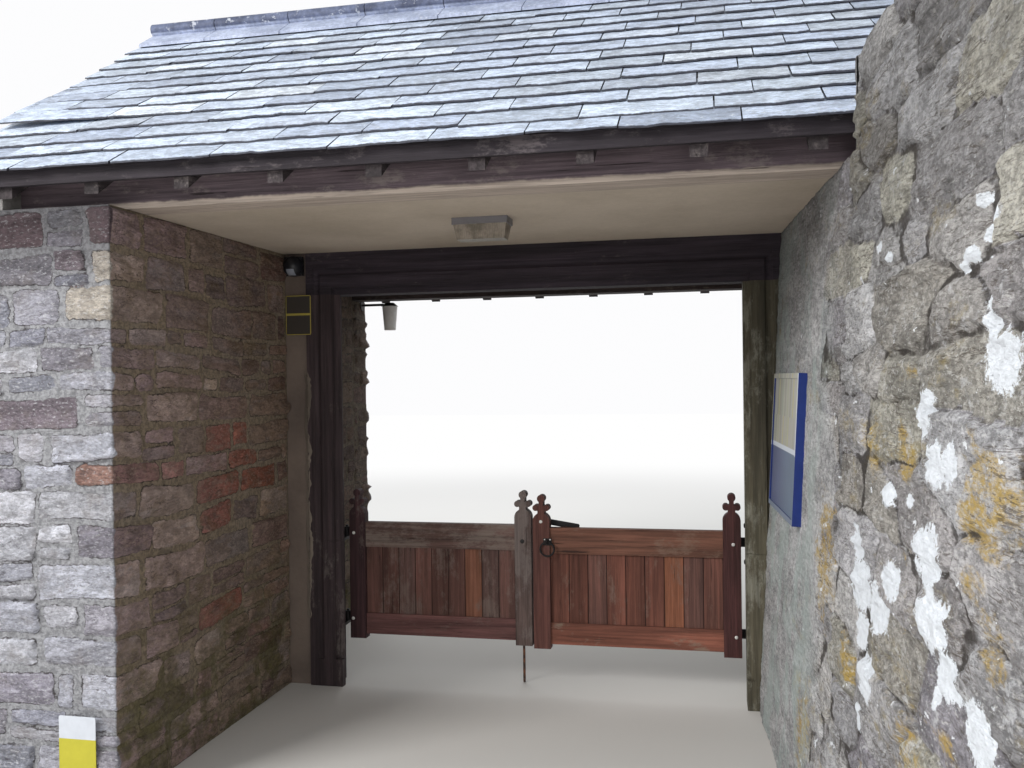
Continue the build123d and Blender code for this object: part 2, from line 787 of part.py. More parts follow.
def gate_leaf(name, hinge_edge, meeting_edge, lift, hinge_top_z, meeting_top_z):
    """Save one leaf with its hinges; the hinge edge is the leaf's outer end and lift its hanging height."""
    side = 1 if meeting_edge > hinge_edge else -1
    hinge_x = hinge_edge + side * stile_width / 2
    meeting_x = meeting_edge - side * stile_width / 2
    inner = sorted((hinge_edge + side * stile_width, meeting_edge - side * stile_width))
    pin_x = hinge_edge - side * hinge_pin_offset
    raised = Pos(0, 0, lift)
    save(name + "_hinge_stile", stile(hinge_x, stile_foot_z + lift, hinge_top_z))
    save(name + "_meeting_stile", stile(meeting_x, stile_foot_z + lift, meeting_top_z))
    save(name + "_top_rail", raised * rail(*inner, top_rail_top_z - top_rail_height, top_rail_height))
    save(name + "_bottom_rail", raised * rail(*inner, bottom_rail_bottom_z, bottom_rail_height))
    save(name + "_boards", raised * boards(*inner))
    save(name + "_hinge_bands", raised * hinge_bands(pin_x, side))
    save(name + "_hinge_hooks", raised * hinge_hooks(pin_x, side))


def build():
    save("left_wall", left_wall())
    save("left_rear_wall", rear_wall(-wall_outer_x, left_rear_inner_x))
    save("right_wall", right_wall())
    save("right_rear_wall", rear_wall(right_rear_inner_x, wall_outer_x))
    save("approach_wall", approach_wall())
    save("gables", Compound([gable(-1), gable(1)]))
    save("jamb", jamb())
    save("front_wall_plate", wall_plate(-1))
    save("rear_wall_plate", wall_plate(1))
    save("rafters", rafters())
    save("ridge_board", ridge_board())
    save("eaves_boards", Compound([eaves_board(-1), eaves_board(1)]))
    save("roof_boarding", Compound([roof_boarding(-1), roof_boarding(1)]))
    save("front_slates", slates(-1))
    save("rear_slates", slates(1))
    save("ridge_tiles", ridge_tiles())
    save("ceiling", ceiling())
    cutters = frame_moulding()
    save("left_post", left_post(cutters))
    save("right_post", right_post(cutters))
    save("lintel", lintel(cutters))
    left_tops = (left_finial_top_z, left_finial_top_z)
    right_tops = (right_hinge_top_z, right_meeting_top_z)
    gate_leaf("left_gate", left_hinge_edge_x, left_meeting_edge_x, left_leaf_lift, *left_tops)
    gate_leaf("right_gate", right_hinge_edge_x, right_meeting_edge_x, right_leaf_lift, *right_tops)
    save("latch_bar", latch_bar())
    save("latch_bolt", latch_bolt())
    save("latch_keeper", latch_keeper())
    save("ring_plate", ring_plate())
    save("ring_handle", ring_handle())
    save("bolt_guides", bolt_guides())
    save("drop_bolt", drop_bolt())
    save("light_base", light_base())
    save("light_lens", light_lens())
    save("lamp_bracket", lamp_bracket())
    save("lamp_shade", lamp_shade())
    save("sensor", sensor())
    frame, panel = notice_board()
    save("board_frame", frame)
    save("board_panel", panel)


os.makedirs("parts", exist_ok=True)
build()
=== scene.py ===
from math import cos, pi, radians, sin, tan

import bpy
import numpy as np
from mathutils import Matrix, Vector


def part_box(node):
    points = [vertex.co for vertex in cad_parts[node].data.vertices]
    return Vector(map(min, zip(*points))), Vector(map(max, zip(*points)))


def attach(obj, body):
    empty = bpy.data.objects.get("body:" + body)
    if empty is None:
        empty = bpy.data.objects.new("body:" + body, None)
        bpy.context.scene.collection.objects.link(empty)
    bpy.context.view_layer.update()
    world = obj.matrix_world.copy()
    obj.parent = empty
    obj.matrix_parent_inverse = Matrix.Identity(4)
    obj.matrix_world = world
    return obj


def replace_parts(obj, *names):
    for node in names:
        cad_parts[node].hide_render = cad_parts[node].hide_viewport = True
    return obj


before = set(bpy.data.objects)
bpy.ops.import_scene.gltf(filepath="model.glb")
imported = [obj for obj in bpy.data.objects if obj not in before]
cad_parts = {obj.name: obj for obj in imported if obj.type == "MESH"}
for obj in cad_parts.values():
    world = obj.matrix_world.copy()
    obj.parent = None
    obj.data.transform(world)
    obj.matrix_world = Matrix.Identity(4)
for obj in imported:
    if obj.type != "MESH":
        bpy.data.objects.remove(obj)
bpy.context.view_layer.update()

# Metres. The gate line lies this far behind the middle of the footprint, and places are measured from it.
GATE_Y = 0.8665

# Camera
EYE = (0.912, -4.950, 1.683)
YAW, PITCH, ROLL = radians(11.99), radians(-0.247), radians(0.731)
LENS = 32.81

# Walls
WALL_HEAD = 2.400
STEP_HEAD = 2.270
STEP_Y = 1.400
APPROACH_HEAD = 2.700
APPROACH_FAR = -1.800
APPROACH_NEAR = -3.500
OUTER_X = 2.150
LEFT_INNER_X = -1.414
LEFT_REAR_X = -1.611
RIGHT_REAR_X = 1.420
FACE_Y = 1.657
BACK_Y = 0.047
POST_Y = -0.113
JAMB_Y = -0.095
POST_X = -1.280
STONE_CELL = 0.0088
OUTER_CELL = 0.019
RIGHT_OUTER_CELL = 0.022
GABLE_CELL = 0.021
TOP_CELL = 0.025
TUCK = -0.012
GABLE_GAP = 0.012

# The right wall's passage face: X at the gate line's foot, its splay towards the lane and its batter
RIGHT_FACE_X = 1.134
RIGHT_SPLAY = 0.063
RIGHT_BATTER = 0.055

# Worn render runs from here in Y to the right post, and lies flat behind the notice board
RENDER_START = (-1.66, -1.5)
FLAT_Y, FLAT_LOW, FLAT_HIGH = (-1.4, -1.12), (0.85, 1.0), (1.85, 1.75)

# Roof
PITCH_TAN = tan(radians(34.5))
PITCH_COS = cos(radians(34.5))
RIDGE_Y = -0.120
EAVE_Y = 1.767
FRONT_EAVE_Z = 2.537
VERGE_X = 2.200
COURSES = 14
RIDGE_GAP = 0.020
SLATE = 0.0075
LAP = 0.008
UNDER_SLATES = 0.036
RIDGE_ROLL_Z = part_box("ridge_tiles")[1][2] - 0.056

# Front slates by the left verge have lifted and slipped, most of all in this course, over this width
LIFTED_COURSE = 4
LIFTED_X, LIFTED_WIDTH = -1.45, 0.75
LIFT, SLIP = 0.03, 0.05

# Timber: gate boards in X (first edge and width), the leaves' front, the top of the wall plate's pale foot
LEFT_PLANKS = (-1.019, 0.0966)
RIGHT_PLANKS = (0.0455, 0.1024)
LEAF_Y = 0.062
PALE_FOOT = 2.425

# Fittings and thin plates; corners are (X, Z), the low one first
BOARD_NEAR_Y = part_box("board_frame")[0][1]
BOARD_SILL = 1.362
BOARD_FOOT = 1.108
SENSOR_WINDOW = ((-1.367, 2.277), (-1.323, 2.309))
LENS_RIB = 0.008
PLATE = 0.003
SIGN = (-1.399, 1.949), (-1.251, 2.168)
SIGN_BAND = (2.056, 2.068)
CAUTION = (-1.651, 0.070), (-1.485, 0.366)
CAUTION_BAND = (0.082, 0.275)


# Noise and meshes
def lattice_noise(p, seed):
    """Smooth noise from -1 to 1 at an (n, 3) array of points."""
    cell = np.floor(p).astype(np.int64)
    f = p - cell
    f = f * f * (3 - 2 * f)
    total = np.zeros(len(p))
    for dx, dy, dz in np.ndindex(2, 2, 2):
        key = (cell[:, 0] + dx) * 374761393 + (cell[:, 1] + dy) * 668265263
        key = (key + (cell[:, 2] + dz) * 362437 + seed * 83492791) & 0xFFFFFFFF
        key = ((key ^ (key >> 13)) * 1274126177) & 0xFFFFFFFF
        key = key ^ (key >> 16)
        weight = np.abs(1 - dx - f[:, 0]) * np.abs(1 - dy - f[:, 1]) * np.abs(1 - dz - f[:, 2])
        total += weight * (key / 0xFFFFFFFF * 2 - 1)
    return total


def field(s, t, seed, fs, ft, key=0.0):
    """Noise over a wall's s and t at these frequencies; key shifts it from stone to stone."""
    return lattice_noise(np.stack([s * fs, t * ft, np.zeros(len(s)) + seed * 0.37 + key], axis=1), seed)


def waves(base, s, t, seed, *terms, key=0.0):
    """The base with noise added. Each term, (frequency in s, in t, height), takes the next seed."""
    for n, (fs, ft, height) in enumerate(terms):
        base = base + height * field(s, t, seed + n, fs, ft, key)
    return base


def fade(x, low, high):
    """A smooth rise from 0 at low to 1 at high, or a fall where high is the lower number."""
    u = np.clip((x - low) / (high - low), 0, 1)
    return u * u * (3 - 2 * u)


class Soup:
    """Collects the vertices and faces of one joined piece, with a tint for each vertex."""

    def __init__(self):
        self.points, self.tints, self.quads, self.count = [], [], [], 0

    def add(self, points, quads, tint=(0.5, 0.5, 1.0)):
        points = np.asarray(points, float).reshape(-1, 3)
        tint = np.broadcast_to(np.asarray(tint, float), (len(points), np.shape(tint)[-1]))
        self.points.append(points)
        self.tints.append(np.pad(tint, ((0, 0), (0, 4 - tint.shape[1]))))
        self.quads.append(np.asarray(quads, np.int64) + self.count)
        self.count += len(points)

    def make(self, name, body, slot, look, smooth=True):
        points = np.concatenate(self.points)
        points[:, 1] += GATE_Y
        mesh = bpy.data.meshes.new(name)
        mesh.from_pydata(points.tolist(), [], np.concatenate(self.quads).tolist())
        tints = mesh.color_attributes.new("tint", "FLOAT_COLOR", "POINT")
        tints.data.foreach_set("color", np.concatenate(self.tints).astype(np.float32).ravel())
        mesh.polygons.foreach_set("use_smooth", [smooth] * len(mesh.polygons))
        mesh.materials.append(LOOKS[look])
        mesh.update()
        piece = bpy.data.objects.new(name, mesh)
        bpy.context.scene.collection.objects.link(piece)
        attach(piece, body)
        return piece


def grid_quads(rows, columns):
    """The faces of a grid of points stored row by row."""
    i, j = np.meshgrid(np.arange(rows - 1), np.arange(columns - 1), indexing="ij")
    first = (i * columns + j).ravel()
    return np.stack([first, first + columns, first + columns + 1, first + 1], axis=1)


# Materials
LOOKS = {}


def rgb(r, g, b):
    """A colour given as display values from 0 to 255, in linear light."""
    return tuple(((c / 255 + 0.055) / 1.055) ** 2.4 if c > 10 else c / 3294.6 for c in (r, g, b)) + (1.0,)


class Nodes:
    """A tree of shader nodes. Colours of three numbers are display values, those of four linear ones."""

    def __init__(self, tree):
        self.tree = tree
        tree.nodes.clear()

    def join(self, value, socket):
        """Links a socket to an input, or sets the input to a number or colour."""
        if hasattr(value, "is_linked"):
            self.tree.links.new(value, socket)
        else:
            socket.default_value = rgb(*value) if socket.type == "RGBA" and len(value) == 3 else value

    def node(self, kind, inputs=(), **settings):
        node = self.tree.nodes.new("ShaderNode" + kind)
        for key, value in settings.items():
            setattr(node, key, value)
        for socket, value in dict(inputs).items():
            self.join(value, node.inputs[socket])
        return node

    def math(self, kind, a, b=0.0):
        return self.node("Math", {0: a, 1: b}, operation=kind).outputs[0]

    def times(self, value, *others):
        for other in others:
            value = self.math("MULTIPLY", value, other)
        return value

    def less(self, a, b):
        return self.math("SUBTRACT", a, b)

    def most(self, value, *others):
        for other in others:
            value = self.math("MAXIMUM", value, other)
        return value


class Look(Nodes):
    """A procedural material built from a few kinds of node."""

    def __init__(self, name, roughness=0.8, metallic=0.0, specular=0.3):
        self.material = LOOKS[name] = bpy.data.materials.new(name)
        self.material.use_nodes = True
        super().__init__(self.material.node_tree)
        self.shader = self.node("BsdfPrincipled", {
            "Roughness": roughness, "Metallic": metallic, "Specular IOR Level": specular})
        self.output = self.node("OutputMaterial", {"Surface": self.shader.outputs[0]})
        self.place = self.node("TexCoord").outputs["Object"]
        self.relief = None

    def axis(self, index):
        return self.node("SeparateXYZ", {0: self.place}).outputs[index]

    def normal(self, index):
        return self.node("SeparateXYZ", {0: self.node("NewGeometry").outputs["Normal"]}).outputs[index]

    def stretched(self, stretch):
        return self.node("Mapping", {"Vector": self.place, "Scale": stretch}).outputs[0]

    def noise(self, scale, detail=4.0, roughness=0.55, stretch=None, warp=0.0):
        place = self.stretched(stretch) if stretch else self.place
        return self.node("TexNoise", {"Vector": place, "Scale": scale, "Detail": detail,
                                      "Roughness": roughness, "Distortion": warp}).outputs["Fac"]

    def step(self, value, low, high):
        """A smooth rise from 0 at low to 1 at high, or a fall where high is the lower number."""
        fall = float(high < low)
        return self.node("MapRange", {
            "Value": value, "From Min": min(low, high), "From Max": max(low, high), "To Min": fall,
            "To Max": 1 - fall}, interpolation_type="SMOOTHSTEP").outputs["Result"]

    def along(self, index, low, high):
        """A step along X, Y or Z."""
        return self.step(self.axis(index), low, high)

    def blots(self, low, high, *noise):
        """Ragged patches: a step of noise."""
        return self.step(self.noise(*noise), low, high)

    def grains(self, scale, stretch=None):
        """Rough blotches with strong contrast, from 0 to 1."""
        return self.blots(0.36, 0.64, scale, 8.0, 0.78, stretch)

    def cracks(self, scale, stretch):
        """Thin broken lines, from 0 to 1."""
        level = self.less(self.noise(scale, 5, 0.6, stretch, 0.5), 0.5)
        line = self.step(self.math("ABSOLUTE", level), 0.016, 0.005)
        return self.times(line, self.blots(0.47, 0.56, scale * 0.6, 5, 0.6))

    def ragged(self, value, size, *noise):
        """The value with noise added about its middle."""
        return self.math("ADD", value, self.times(self.less(self.noise(*noise), 0.5), size))

    def chance(self, index):
        """A random value from 0 to 1 for each whole number."""
        return self.node("TexWhiteNoise", {"W": index}, noise_dimensions="1D").outputs["Value"]

    def tint(self):
        node = self.node("Attribute", attribute_type="GEOMETRY", attribute_name="tint")
        split = self.node("SeparateColor", {0: node.outputs["Color"]})
        return list(split.outputs)[:3] + [node.outputs["Alpha"]]

    def ramp(self, value, stops):
        node = self.node("ValToRGB", {"Fac": value})
        points = node.color_ramp.elements
        points[0].position, points[0].color = stops[0][0], rgb(*stops[0][1])
        points[1].position, points[1].color = stops[-1][0], rgb(*stops[-1][1])
        for place, colour in stops[1:-1]:
            points.new(place).color = rgb(*colour)
        return node.outputs["Color"]

    def mix(self, factor, a, b, kind="MIX"):
        return self.node("Mix", {"Factor": factor, "A": a, "B": b}, data_type="RGBA",
                         blend_type=kind).outputs["Result"]

    def lay(self, colour, *layers):
        """The colour under layers. A layer is a mask, shares of it where there are any, and a tone."""
        for *masks, tone in layers:
            colour = self.mix(self.times(*masks), colour, tone)
        return colour

    def shade(self, colour, *shades):
        """The colour made darker or lighter by (value, low, high): a value from 0 to 1 and its gains."""
        for value, low, high in shades:
            gain = self.node("MapRange", {"Value": value, "From Min": 0.25, "From Max": 0.75, "To Min": low,
                                          "To Max": high}).outputs["Result"]
            colour = self.mix(1.0, colour, gain, "MULTIPLY")
        return colour

    def bump(self, depth, *height):
        """Relief from a socket, or from noise with these settings."""
        if not hasattr(height[0], "is_linked"):
            height = [self.noise(*height)]
        inputs = {"Strength": 1.0, "Distance": depth, "Height": height[0]}
        if self.relief is not None:
            inputs["Normal"] = self.relief
        self.relief = self.node("Bump", inputs).outputs[0]

    def done(self, colour, roughness=None):
        for value, socket in ((colour, "Base Color"), (roughness, "Roughness"), (self.relief, "Normal")):
            if value is not None:
                self.join(value, self.shader.inputs[socket])
        return self.material


def rubble_look():
    """Split stone: pale grey and mauve outside, brown and red inside the passage, green low down."""
    k = Look("rubble_stone", 0.92)
    pick, level, edge, _ = k.tint()
    edge = k.ragged(edge, 0.9, 38, 7, 0.72, (1, 1, 1.7))
    pale = k.ramp(pick, [
        (0, (168, 168, 180)), (0.2, (200, 201, 212)), (0.4, (160, 155, 166)), (0.6, (214, 214, 222)),
        (0.72, (168, 170, 184)), (0.8, (142, 120, 126)), (0.92, (178, 140, 128)), (1, (222, 212, 200))])
    brown = k.ramp(pick, [
        (0, (156, 130, 120)), (0.2, (178, 156, 134)), (0.38, (150, 118, 114)), (0.55, (186, 164, 142)),
        (0.7, (142, 126, 122)), (0.84, (152, 118, 110)), (0.92, (182, 112, 92)), (1, (196, 172, 146))])
    gate_y, face_y = GATE_Y + BACK_Y, GATE_Y - FACE_Y
    # The left wall's passage face, before the gate and beyond it
    near = k.times(k.along(0, LEFT_INNER_X - 0.008, LEFT_INNER_X + 0.004),
                   k.along(1, gate_y + 0.02, gate_y - 0.02), k.along(0, 0, -0.5),
                   k.along(1, face_y - 0.004, face_y + 0.006))
    beyond = k.times(k.along(0, LEFT_REAR_X - 0.008, LEFT_REAR_X + 0.002),
                     k.along(1, gate_y - 0.02, gate_y + 0.02),
                     k.times(k.along(1, 2.56, 2.5), k.along(0, 0, -0.5)))
    near = k.most(near, beyond)
    patchy = k.blots(0.46, 0.6, 13, 7, 0.75, (1, 1, 2))
    # Painted light and shade on the passage face: paler and bluer towards the lane, darker and browner deeper
    # in. The patchy layer is the stones' own colour.
    brown = k.lay(brown, (k.along(1, 0.5, -0.8), 0.5, (190, 170, 176)),
                  (k.along(1, 0.1, 0.75), 0.3, (124, 92, 66)), (patchy, 0.6, (150, 130, 118)))
    colour = k.shade(k.mix(near, pale, brown), (level, 0.78, 1.14), (k.grains(8, (1, 1, 2)), 0.78, 1.16),
                     (k.grains(52, (1, 1, 2)), 0.8, 1.14))
    # Painted shade of the eaves: the wall darkens towards its head, less in the passage.
    eaves = k.times(k.along(2, 1.5, 2.3), k.less(0.26, k.times(near, 0.1)))
    stain = k.blots(0.5, 0.66, 5, 6, 0.7)
    speck = k.blots(0.55, 0.62, 48, 6, 0.72, (1, 1, 2.2))
    pit = k.blots(0.4, 0.33, 30, 7, 0.8, (1, 1, 3.4))
    colour = k.lay(colour, (eaves, (40, 32, 32)), (stain, 0.4, k.mix(near, (146, 136, 130), (118, 100, 66))),
                   (speck, 0.5, k.mix(near, (240, 240, 244), (180, 160, 144))),
                   (pit, 0.75, k.mix(near, (84, 76, 78), (66, 54, 48))))
    bed = k.shade(k.mix(near, (172, 172, 176), (152, 136, 116)), (k.grains(44), 0.74, 1.18))
    # gap is painted shade: a dark line in the crevice round each stone's edge.
    gap = k.times(k.step(edge, 0.36, 0.46), k.step(edge, 0.6, 0.5), k.blots(0.44, 0.54, 8, 6, 0.7, (1, 1, 2)))
    crack = k.times(k.cracks(9, (1, 1, 3.4)), k.step(edge, 0.5, 0.7))
    # head is painted shade of the eaves on the front face's top course.
    head = k.times(k.along(1, face_y + 0.08, face_y + 0.02), k.along(2, WALL_HEAD + 0.06, WALL_HEAD),
                   k.times(k.along(2, 2.0, 2.36), 0.64))
    algae = k.times(k.along(2, 1.0, 0.1), k.blots(0.44, 0.58, 4.5, 6, 0.65), k.times(near, 0.7))
    # The dark layer on the rear wall seen beyond the gate is painted shade.
    colour = k.lay(k.mix(k.step(edge, 0.47, 0.53), bed, colour), (gap, 0.85, (58, 50, 50)),
                   (crack, 0.6, k.mix(near, (84, 76, 80), (58, 46, 42))), (beyond, 0.62, (34, 27, 26)),
                   (head, k.less(1.0, near), (36, 29, 33)),
                   (algae, k.shade((96, 94, 50), (k.grains(40), 0.6, 1.2))))
    k.bump(0.045, 15, 7, 0.66, (1, 1, 2.4))
    k.bump(0.007, 90, 5, 0.65, (1, 1, 1.6))
    return k.done(colour)


def lichen_look():
    """Big weathered rubble with worn render and yellow, grey and white lichen."""
    k = Look("lichen_stone", 0.94)
    bedded = (1, 0.42, 1)
    pick, level, edge, marks = k.tint()
    edge = k.ragged(edge, 0.9, 34, 7, 0.72, bedded)
    coat = k.times(k.step(pick, 0.61, 0.618), k.step(pick, 0.63, 0.622))
    colour = k.ramp(pick, [
        (0, (150, 146, 146)), (0.3, (171, 170, 172)), (0.5, (146, 142, 148)), (0.62, (179, 178, 179)),
        (0.8, (160, 155, 150)), (1, (173, 170, 159))])
    colour = k.shade(colour, (level, 0.82, 1.16), (k.grains(6, bedded), 0.74, 1.2),
                     (k.grains(60, (1, 0.6, 1.2)), 0.72, 1.2))
    yellow = k.step(k.ragged(k.less(0.5, marks), 1.1, 11, 8, 0.75, bedded, 0.4), 0.16, 0.32)
    patches = k.blots(0.36, 0.58, 36, 6, 0.75, bedded)
    loose = k.blots(0.54, 0.66, 5, 8, 0.78, bedded, 0.5)
    pale = k.blots(0.55, 0.63, 17, 8, 0.8, (1, 0.6, 1))
    spot = k.blots(0.68, 0.7, 26, 4, 0.6, (1, 0.6, 1))
    dark = k.blots(0.4, 0.33, 24, 7, 0.8, (1, 0.3, 1.8))
    pit = k.most(k.blots(0.45, 0.38, 60, 6, 0.8, (1, 0.3, 2.6)), k.cracks(7, (1, 0.34, 3.2)))
    light = k.blots(0.57, 0.63, 70, 5, 0.7, (1, 0.5, 1.6))
    green = k.times(k.blots(0.44, 0.58, 5, 6, 0.65, (1, 0.9, 0.5)), k.along(1, -0.8, -0.3),
                    k.along(0, 1.7, 1.5))
    # gap is painted shade in the crevices between stones.
    gap = k.times(k.step(edge, 0.52, 0.36), k.blots(0.4, 0.55, 5, 6, 0.65))
    white = k.step(k.ragged(marks, 0.36, 24, 8, 0.8, (1, 0.8, 1)), 0.773, 0.788)
    colour = k.lay(colour, (yellow, patches, 0.85, (182, 152, 72)), (loose, patches, 0.5, (164, 146, 92)),
                   (pale, 0.6, (206, 206, 208)), (spot, (236, 238, 242)),
                   (dark, k.less(0.8, k.times(coat, 0.55)), (74, 66, 60)),
                   (pit, k.less(0.72, k.times(coat, 0.45)), (80, 70, 62)), (light, 0.5, (212, 210, 206)),
                   # The layer darker from Z 1.75 to 2.35 is painted shade of overhanging leaves, with darker
                   # stones there.
                   (green, 0.55, (176, 190, 186)), (k.along(2, 1.75, 2.35), 0.4, (58, 54, 50)),
                   (gap, 0.9, (50, 44, 40)), (white, k.shade((236, 240, 246), (k.grains(34), 0.9, 1.0))))
    k.bump(0.05, 12, 7, 0.68, (1, 0.45, 2.0))
    k.bump(0.007, 80, 5, 0.65, (1, 0.7, 1))
    return k.done(colour)


def mortar_look(name, tone, dark, grain=55):
    k = Look(name, 0.95)
    colour = k.mix(k.blots(0.3, 0.7, 6, 6, 0.6), tone, dark)
    near = k.times(k.along(0, LEFT_INNER_X - 0.006, LEFT_INNER_X + 0.006), k.along(0, -1.0, -1.2),
                   k.along(1, GATE_Y + BACK_Y + 0.02, GATE_Y + BACK_Y - 0.02))
    colour = k.shade(colour, (k.noise(grain, 6, 0.75), 0.72, 1.2))
    k.bump(0.012, 22, 7, 0.7)
    k.bump(0.004, 140, 4, 0.7)
    return k.done(k.mix(near, colour, k.mix(k.noise(12), (98, 84, 70), (122, 104, 86))))


def wood_look(name, tone, grain, worn, share, planks=None, top=None):
    """Sawn wood of a middle tone, with a share of a worn one. grain is 0, 1 or 2 for fibres along X, Y or Z;
    planks is (start, width) of boards in X; top is (height, tone) of a paler foot below that height."""
    def stretch(across, along):
        return [along if n == grain else across for n in range(3)]

    k = Look(name, 0.74, specular=0.25)
    fibre = k.blots(0.3, 0.7, 1.0, 7, 0.7, stretch(70.0, 2.2), 0.3)
    figure = k.noise(1.0, 5, 0.6, stretch(14.0, 0.9), 0.8)
    colour = k.ramp(figure, [(0.3, [c * 0.78 for c in tone]), (0.5, tone), (0.7, [c * 1.2 for c in tone])])
    if planks:
        along = k.math("DIVIDE", k.less(k.axis(0), planks[0]), planks[1])
        index = k.math("FLOOR", along)
        kind = k.chance(k.math("ADD", index, 31.0))
        colour = k.lay(colour, (k.step(kind, 0.66, 0.9), 0.34, (150, 96, 62)),
                       (k.step(kind, 0.34, 0.1), 0.4, (84, 72, 70)))
        colour = k.shade(colour, (k.chance(index), 0.82, 1.14))
    colour = k.shade(colour, (fibre, 0.8, 1.14), (k.noise(5, 6, 0.7, stretch(1, 0.4)), 0.78, 1.2))
    wear = k.blots(0.62 - share * 0.22, 0.7 - share * 0.16, 6, 8, 0.78, stretch(1, 0.45))
    colour = k.lay(colour, (wear, k.math("ADD", k.times(fibre, 0.5), 0.35), worn))
    if planks:
        across = k.less(along, index)
        joint = k.most(k.step(across, 0.036, 0.014), k.step(across, 0.964, 0.986))
        colour = k.lay(colour, (joint, 0.8, (30, 20, 18)))
    if top:
        low = k.math("ADD", k.axis(2), k.times(k.noise(14, 5, 0.6), 0.02))
        colour = k.mix(k.step(low, top[0] + 0.012, top[0]), colour, k.shade(top[1], (fibre, 0.8, 1.15)))
    crack = k.blots(0.33, 0.27, 1.0, 3, 0.5, [c * 1.6 for c in stretch(70.0, 2.2)], 0.6)
    k.bump(0.0018, k.less(fibre, k.times(crack, 0.8)))
    k.bump(0.004, figure)
    return k.done(k.lay(colour, (crack, 0.75, (24, 18, 16))))


def slate_look():
    """Riven blue-grey slate, each piece a little different."""
    k = Look("riven_slate", 0.5, specular=0.5)
    pick, level, edge, _ = k.tint()
    colour = k.ramp(pick, [
        (0, (178, 189, 210)), (0.3, (200, 212, 231)), (0.55, (210, 221, 236)), (0.8, (189, 200, 220)),
        (1, (217, 225, 236))])
    colour = k.shade(colour, (level, 0.82, 1.1), (k.grains(16, (0.6, 1, 1)), 0.8, 1.12),
                     (k.grains(70, (0.4, 1, 1)), 0.8, 1.14))
    # rim is painted shade on each slate's tail and sides, the dark lines between the courses.
    rim = k.step(k.ragged(edge, 0.6, 30, 5, 0.7), 0.58, 0.3)
    colour = k.lay(colour, (k.blots(0.54, 0.66, 7, 7, 0.75), 0.5, (118, 122, 132)),
                   (k.blots(0.6, 0.66, 40, 6, 0.7), 0.6, (228, 232, 232)), (rim, (52, 54, 66)))
    cells = k.node("TexVoronoi", {"Vector": k.stretched((1.0, 2.6, 2.6)), "Scale": 22})
    k.bump(0.012, 24, 8, 0.75, (0.5, 1, 1))
    k.bump(0.006, cells.outputs["Distance"])
    return k.done(colour, k.blots(-0.6, 1.6, 18, 5))


def ridge_look():
    """Blue-grey clay, lighter on the wings and darker on the roll, where the darkness is painted shade."""
    k = Look("ridge_clay", 0.55)
    wing = k.mix(k.blots(0.35, 0.65, 7, 6), (150, 158, 180), (180, 188, 210))
    roll = k.mix(k.blots(0.35, 0.65, 9, 6), (70, 76, 98), (98, 106, 132))
    # The roll is painted darker than the wings: painted shade.
    colour = k.mix(k.along(2, RIDGE_ROLL_Z - 0.006, RIDGE_ROLL_Z + 0.004), wing, roll)
    colour = k.shade(colour, (k.grains(50), 0.84, 1.1))
    k.bump(0.003, 60, 5)
    return k.done(k.lay(colour, (k.blots(0.58, 0.66, 30, 6, 0.7), 0.6, (214, 218, 226))))


def plaster_look(name, tone, dark):
    k = Look(name, 0.9)
    colour = k.mix(k.blots(0.35, 0.7, 1.7, 6, 0.6), tone, dark)
    k.bump(0.006, 5, 6, 0.6)
    k.bump(0.0012, 120, 4, 0.6)
    return k.done(k.shade(colour, (k.noise(35, 5, 0.6), 0.94, 1.05)))


def metal_look(name, tone, rust, share, roughness=0.55, metallic=0.4):
    k = Look(name, roughness, metallic, 0.4)
    colour = k.mix(k.blots(0.72 - share * 0.3, 0.85 - share * 0.3, 26, 6, 0.7), tone, rust)
    k.bump(0.0012, 80, 5, 0.65)
    return k.done(k.shade(colour, (k.noise(90, 4, 0.6), 0.85, 1.15)))


def smooth_look(name, tone, stain):
    """Paint or plastic with a thin film of dirt."""
    k = Look(name, 0.4)
    k.bump(0.0006, 45, 4)
    return k.done(k.lay(tone, (k.blots(0.42, 0.75, 11, 6, 0.7), 0.5, stain)))


def board_look():
    """Notice board: papers above in a pale inner frame, a plain blue-grey panel below, blue sides."""
    k = Look("notice_board", 0.4)
    row = k.math("FLOOR", k.times(k.axis(2), 5.3))
    sheet = k.math("ADD", k.math("FLOOR", k.times(k.axis(1), 27.0)), k.times(row, 7.0))
    papers = k.ramp(k.chance(sheet), [
        (0, (116, 116, 104)), (0.25, (154, 152, 134)), (0.5, (146, 142, 146)), (0.75, (160, 154, 110)),
        (1, (130, 140, 130))])
    papers = k.shade(papers, (k.noise(9, 6, 0.7), 0.86, 1.08))
    panel = k.mix(k.along(1, BOARD_NEAR_Y + 0.1, BOARD_NEAR_Y + 0.6), (68, 88, 112), (42, 54, 98))
    panel = k.mix(k.along(2, BOARD_FOOT, BOARD_FOOT - 0.004), panel, (92, 104, 124))
    panel = k.shade(panel, (k.noise(5, 5, 0.6), 0.84, 1.18))
    upper = k.along(2, BOARD_SILL, BOARD_SILL + 0.003)
    sill = k.times(k.along(2, BOARD_SILL - 0.001, BOARD_SILL + 0.001),
                   k.along(2, BOARD_SILL + 0.022, BOARD_SILL + 0.02))
    edge = k.times(k.along(1, BOARD_NEAR_Y + 0.024, BOARD_NEAR_Y + 0.02), upper)
    front = k.mix(k.most(sill, edge), k.mix(upper, panel, papers), (186, 192, 202))
    blue = k.shade((27, 46, 108), (k.noise(14, 6, 0.7), 0.82, 1.16))
    k.bump(0.0006, 45, 4)
    return k.done(k.mix(k.step(k.normal(0), -0.4, -0.6), blue, front))


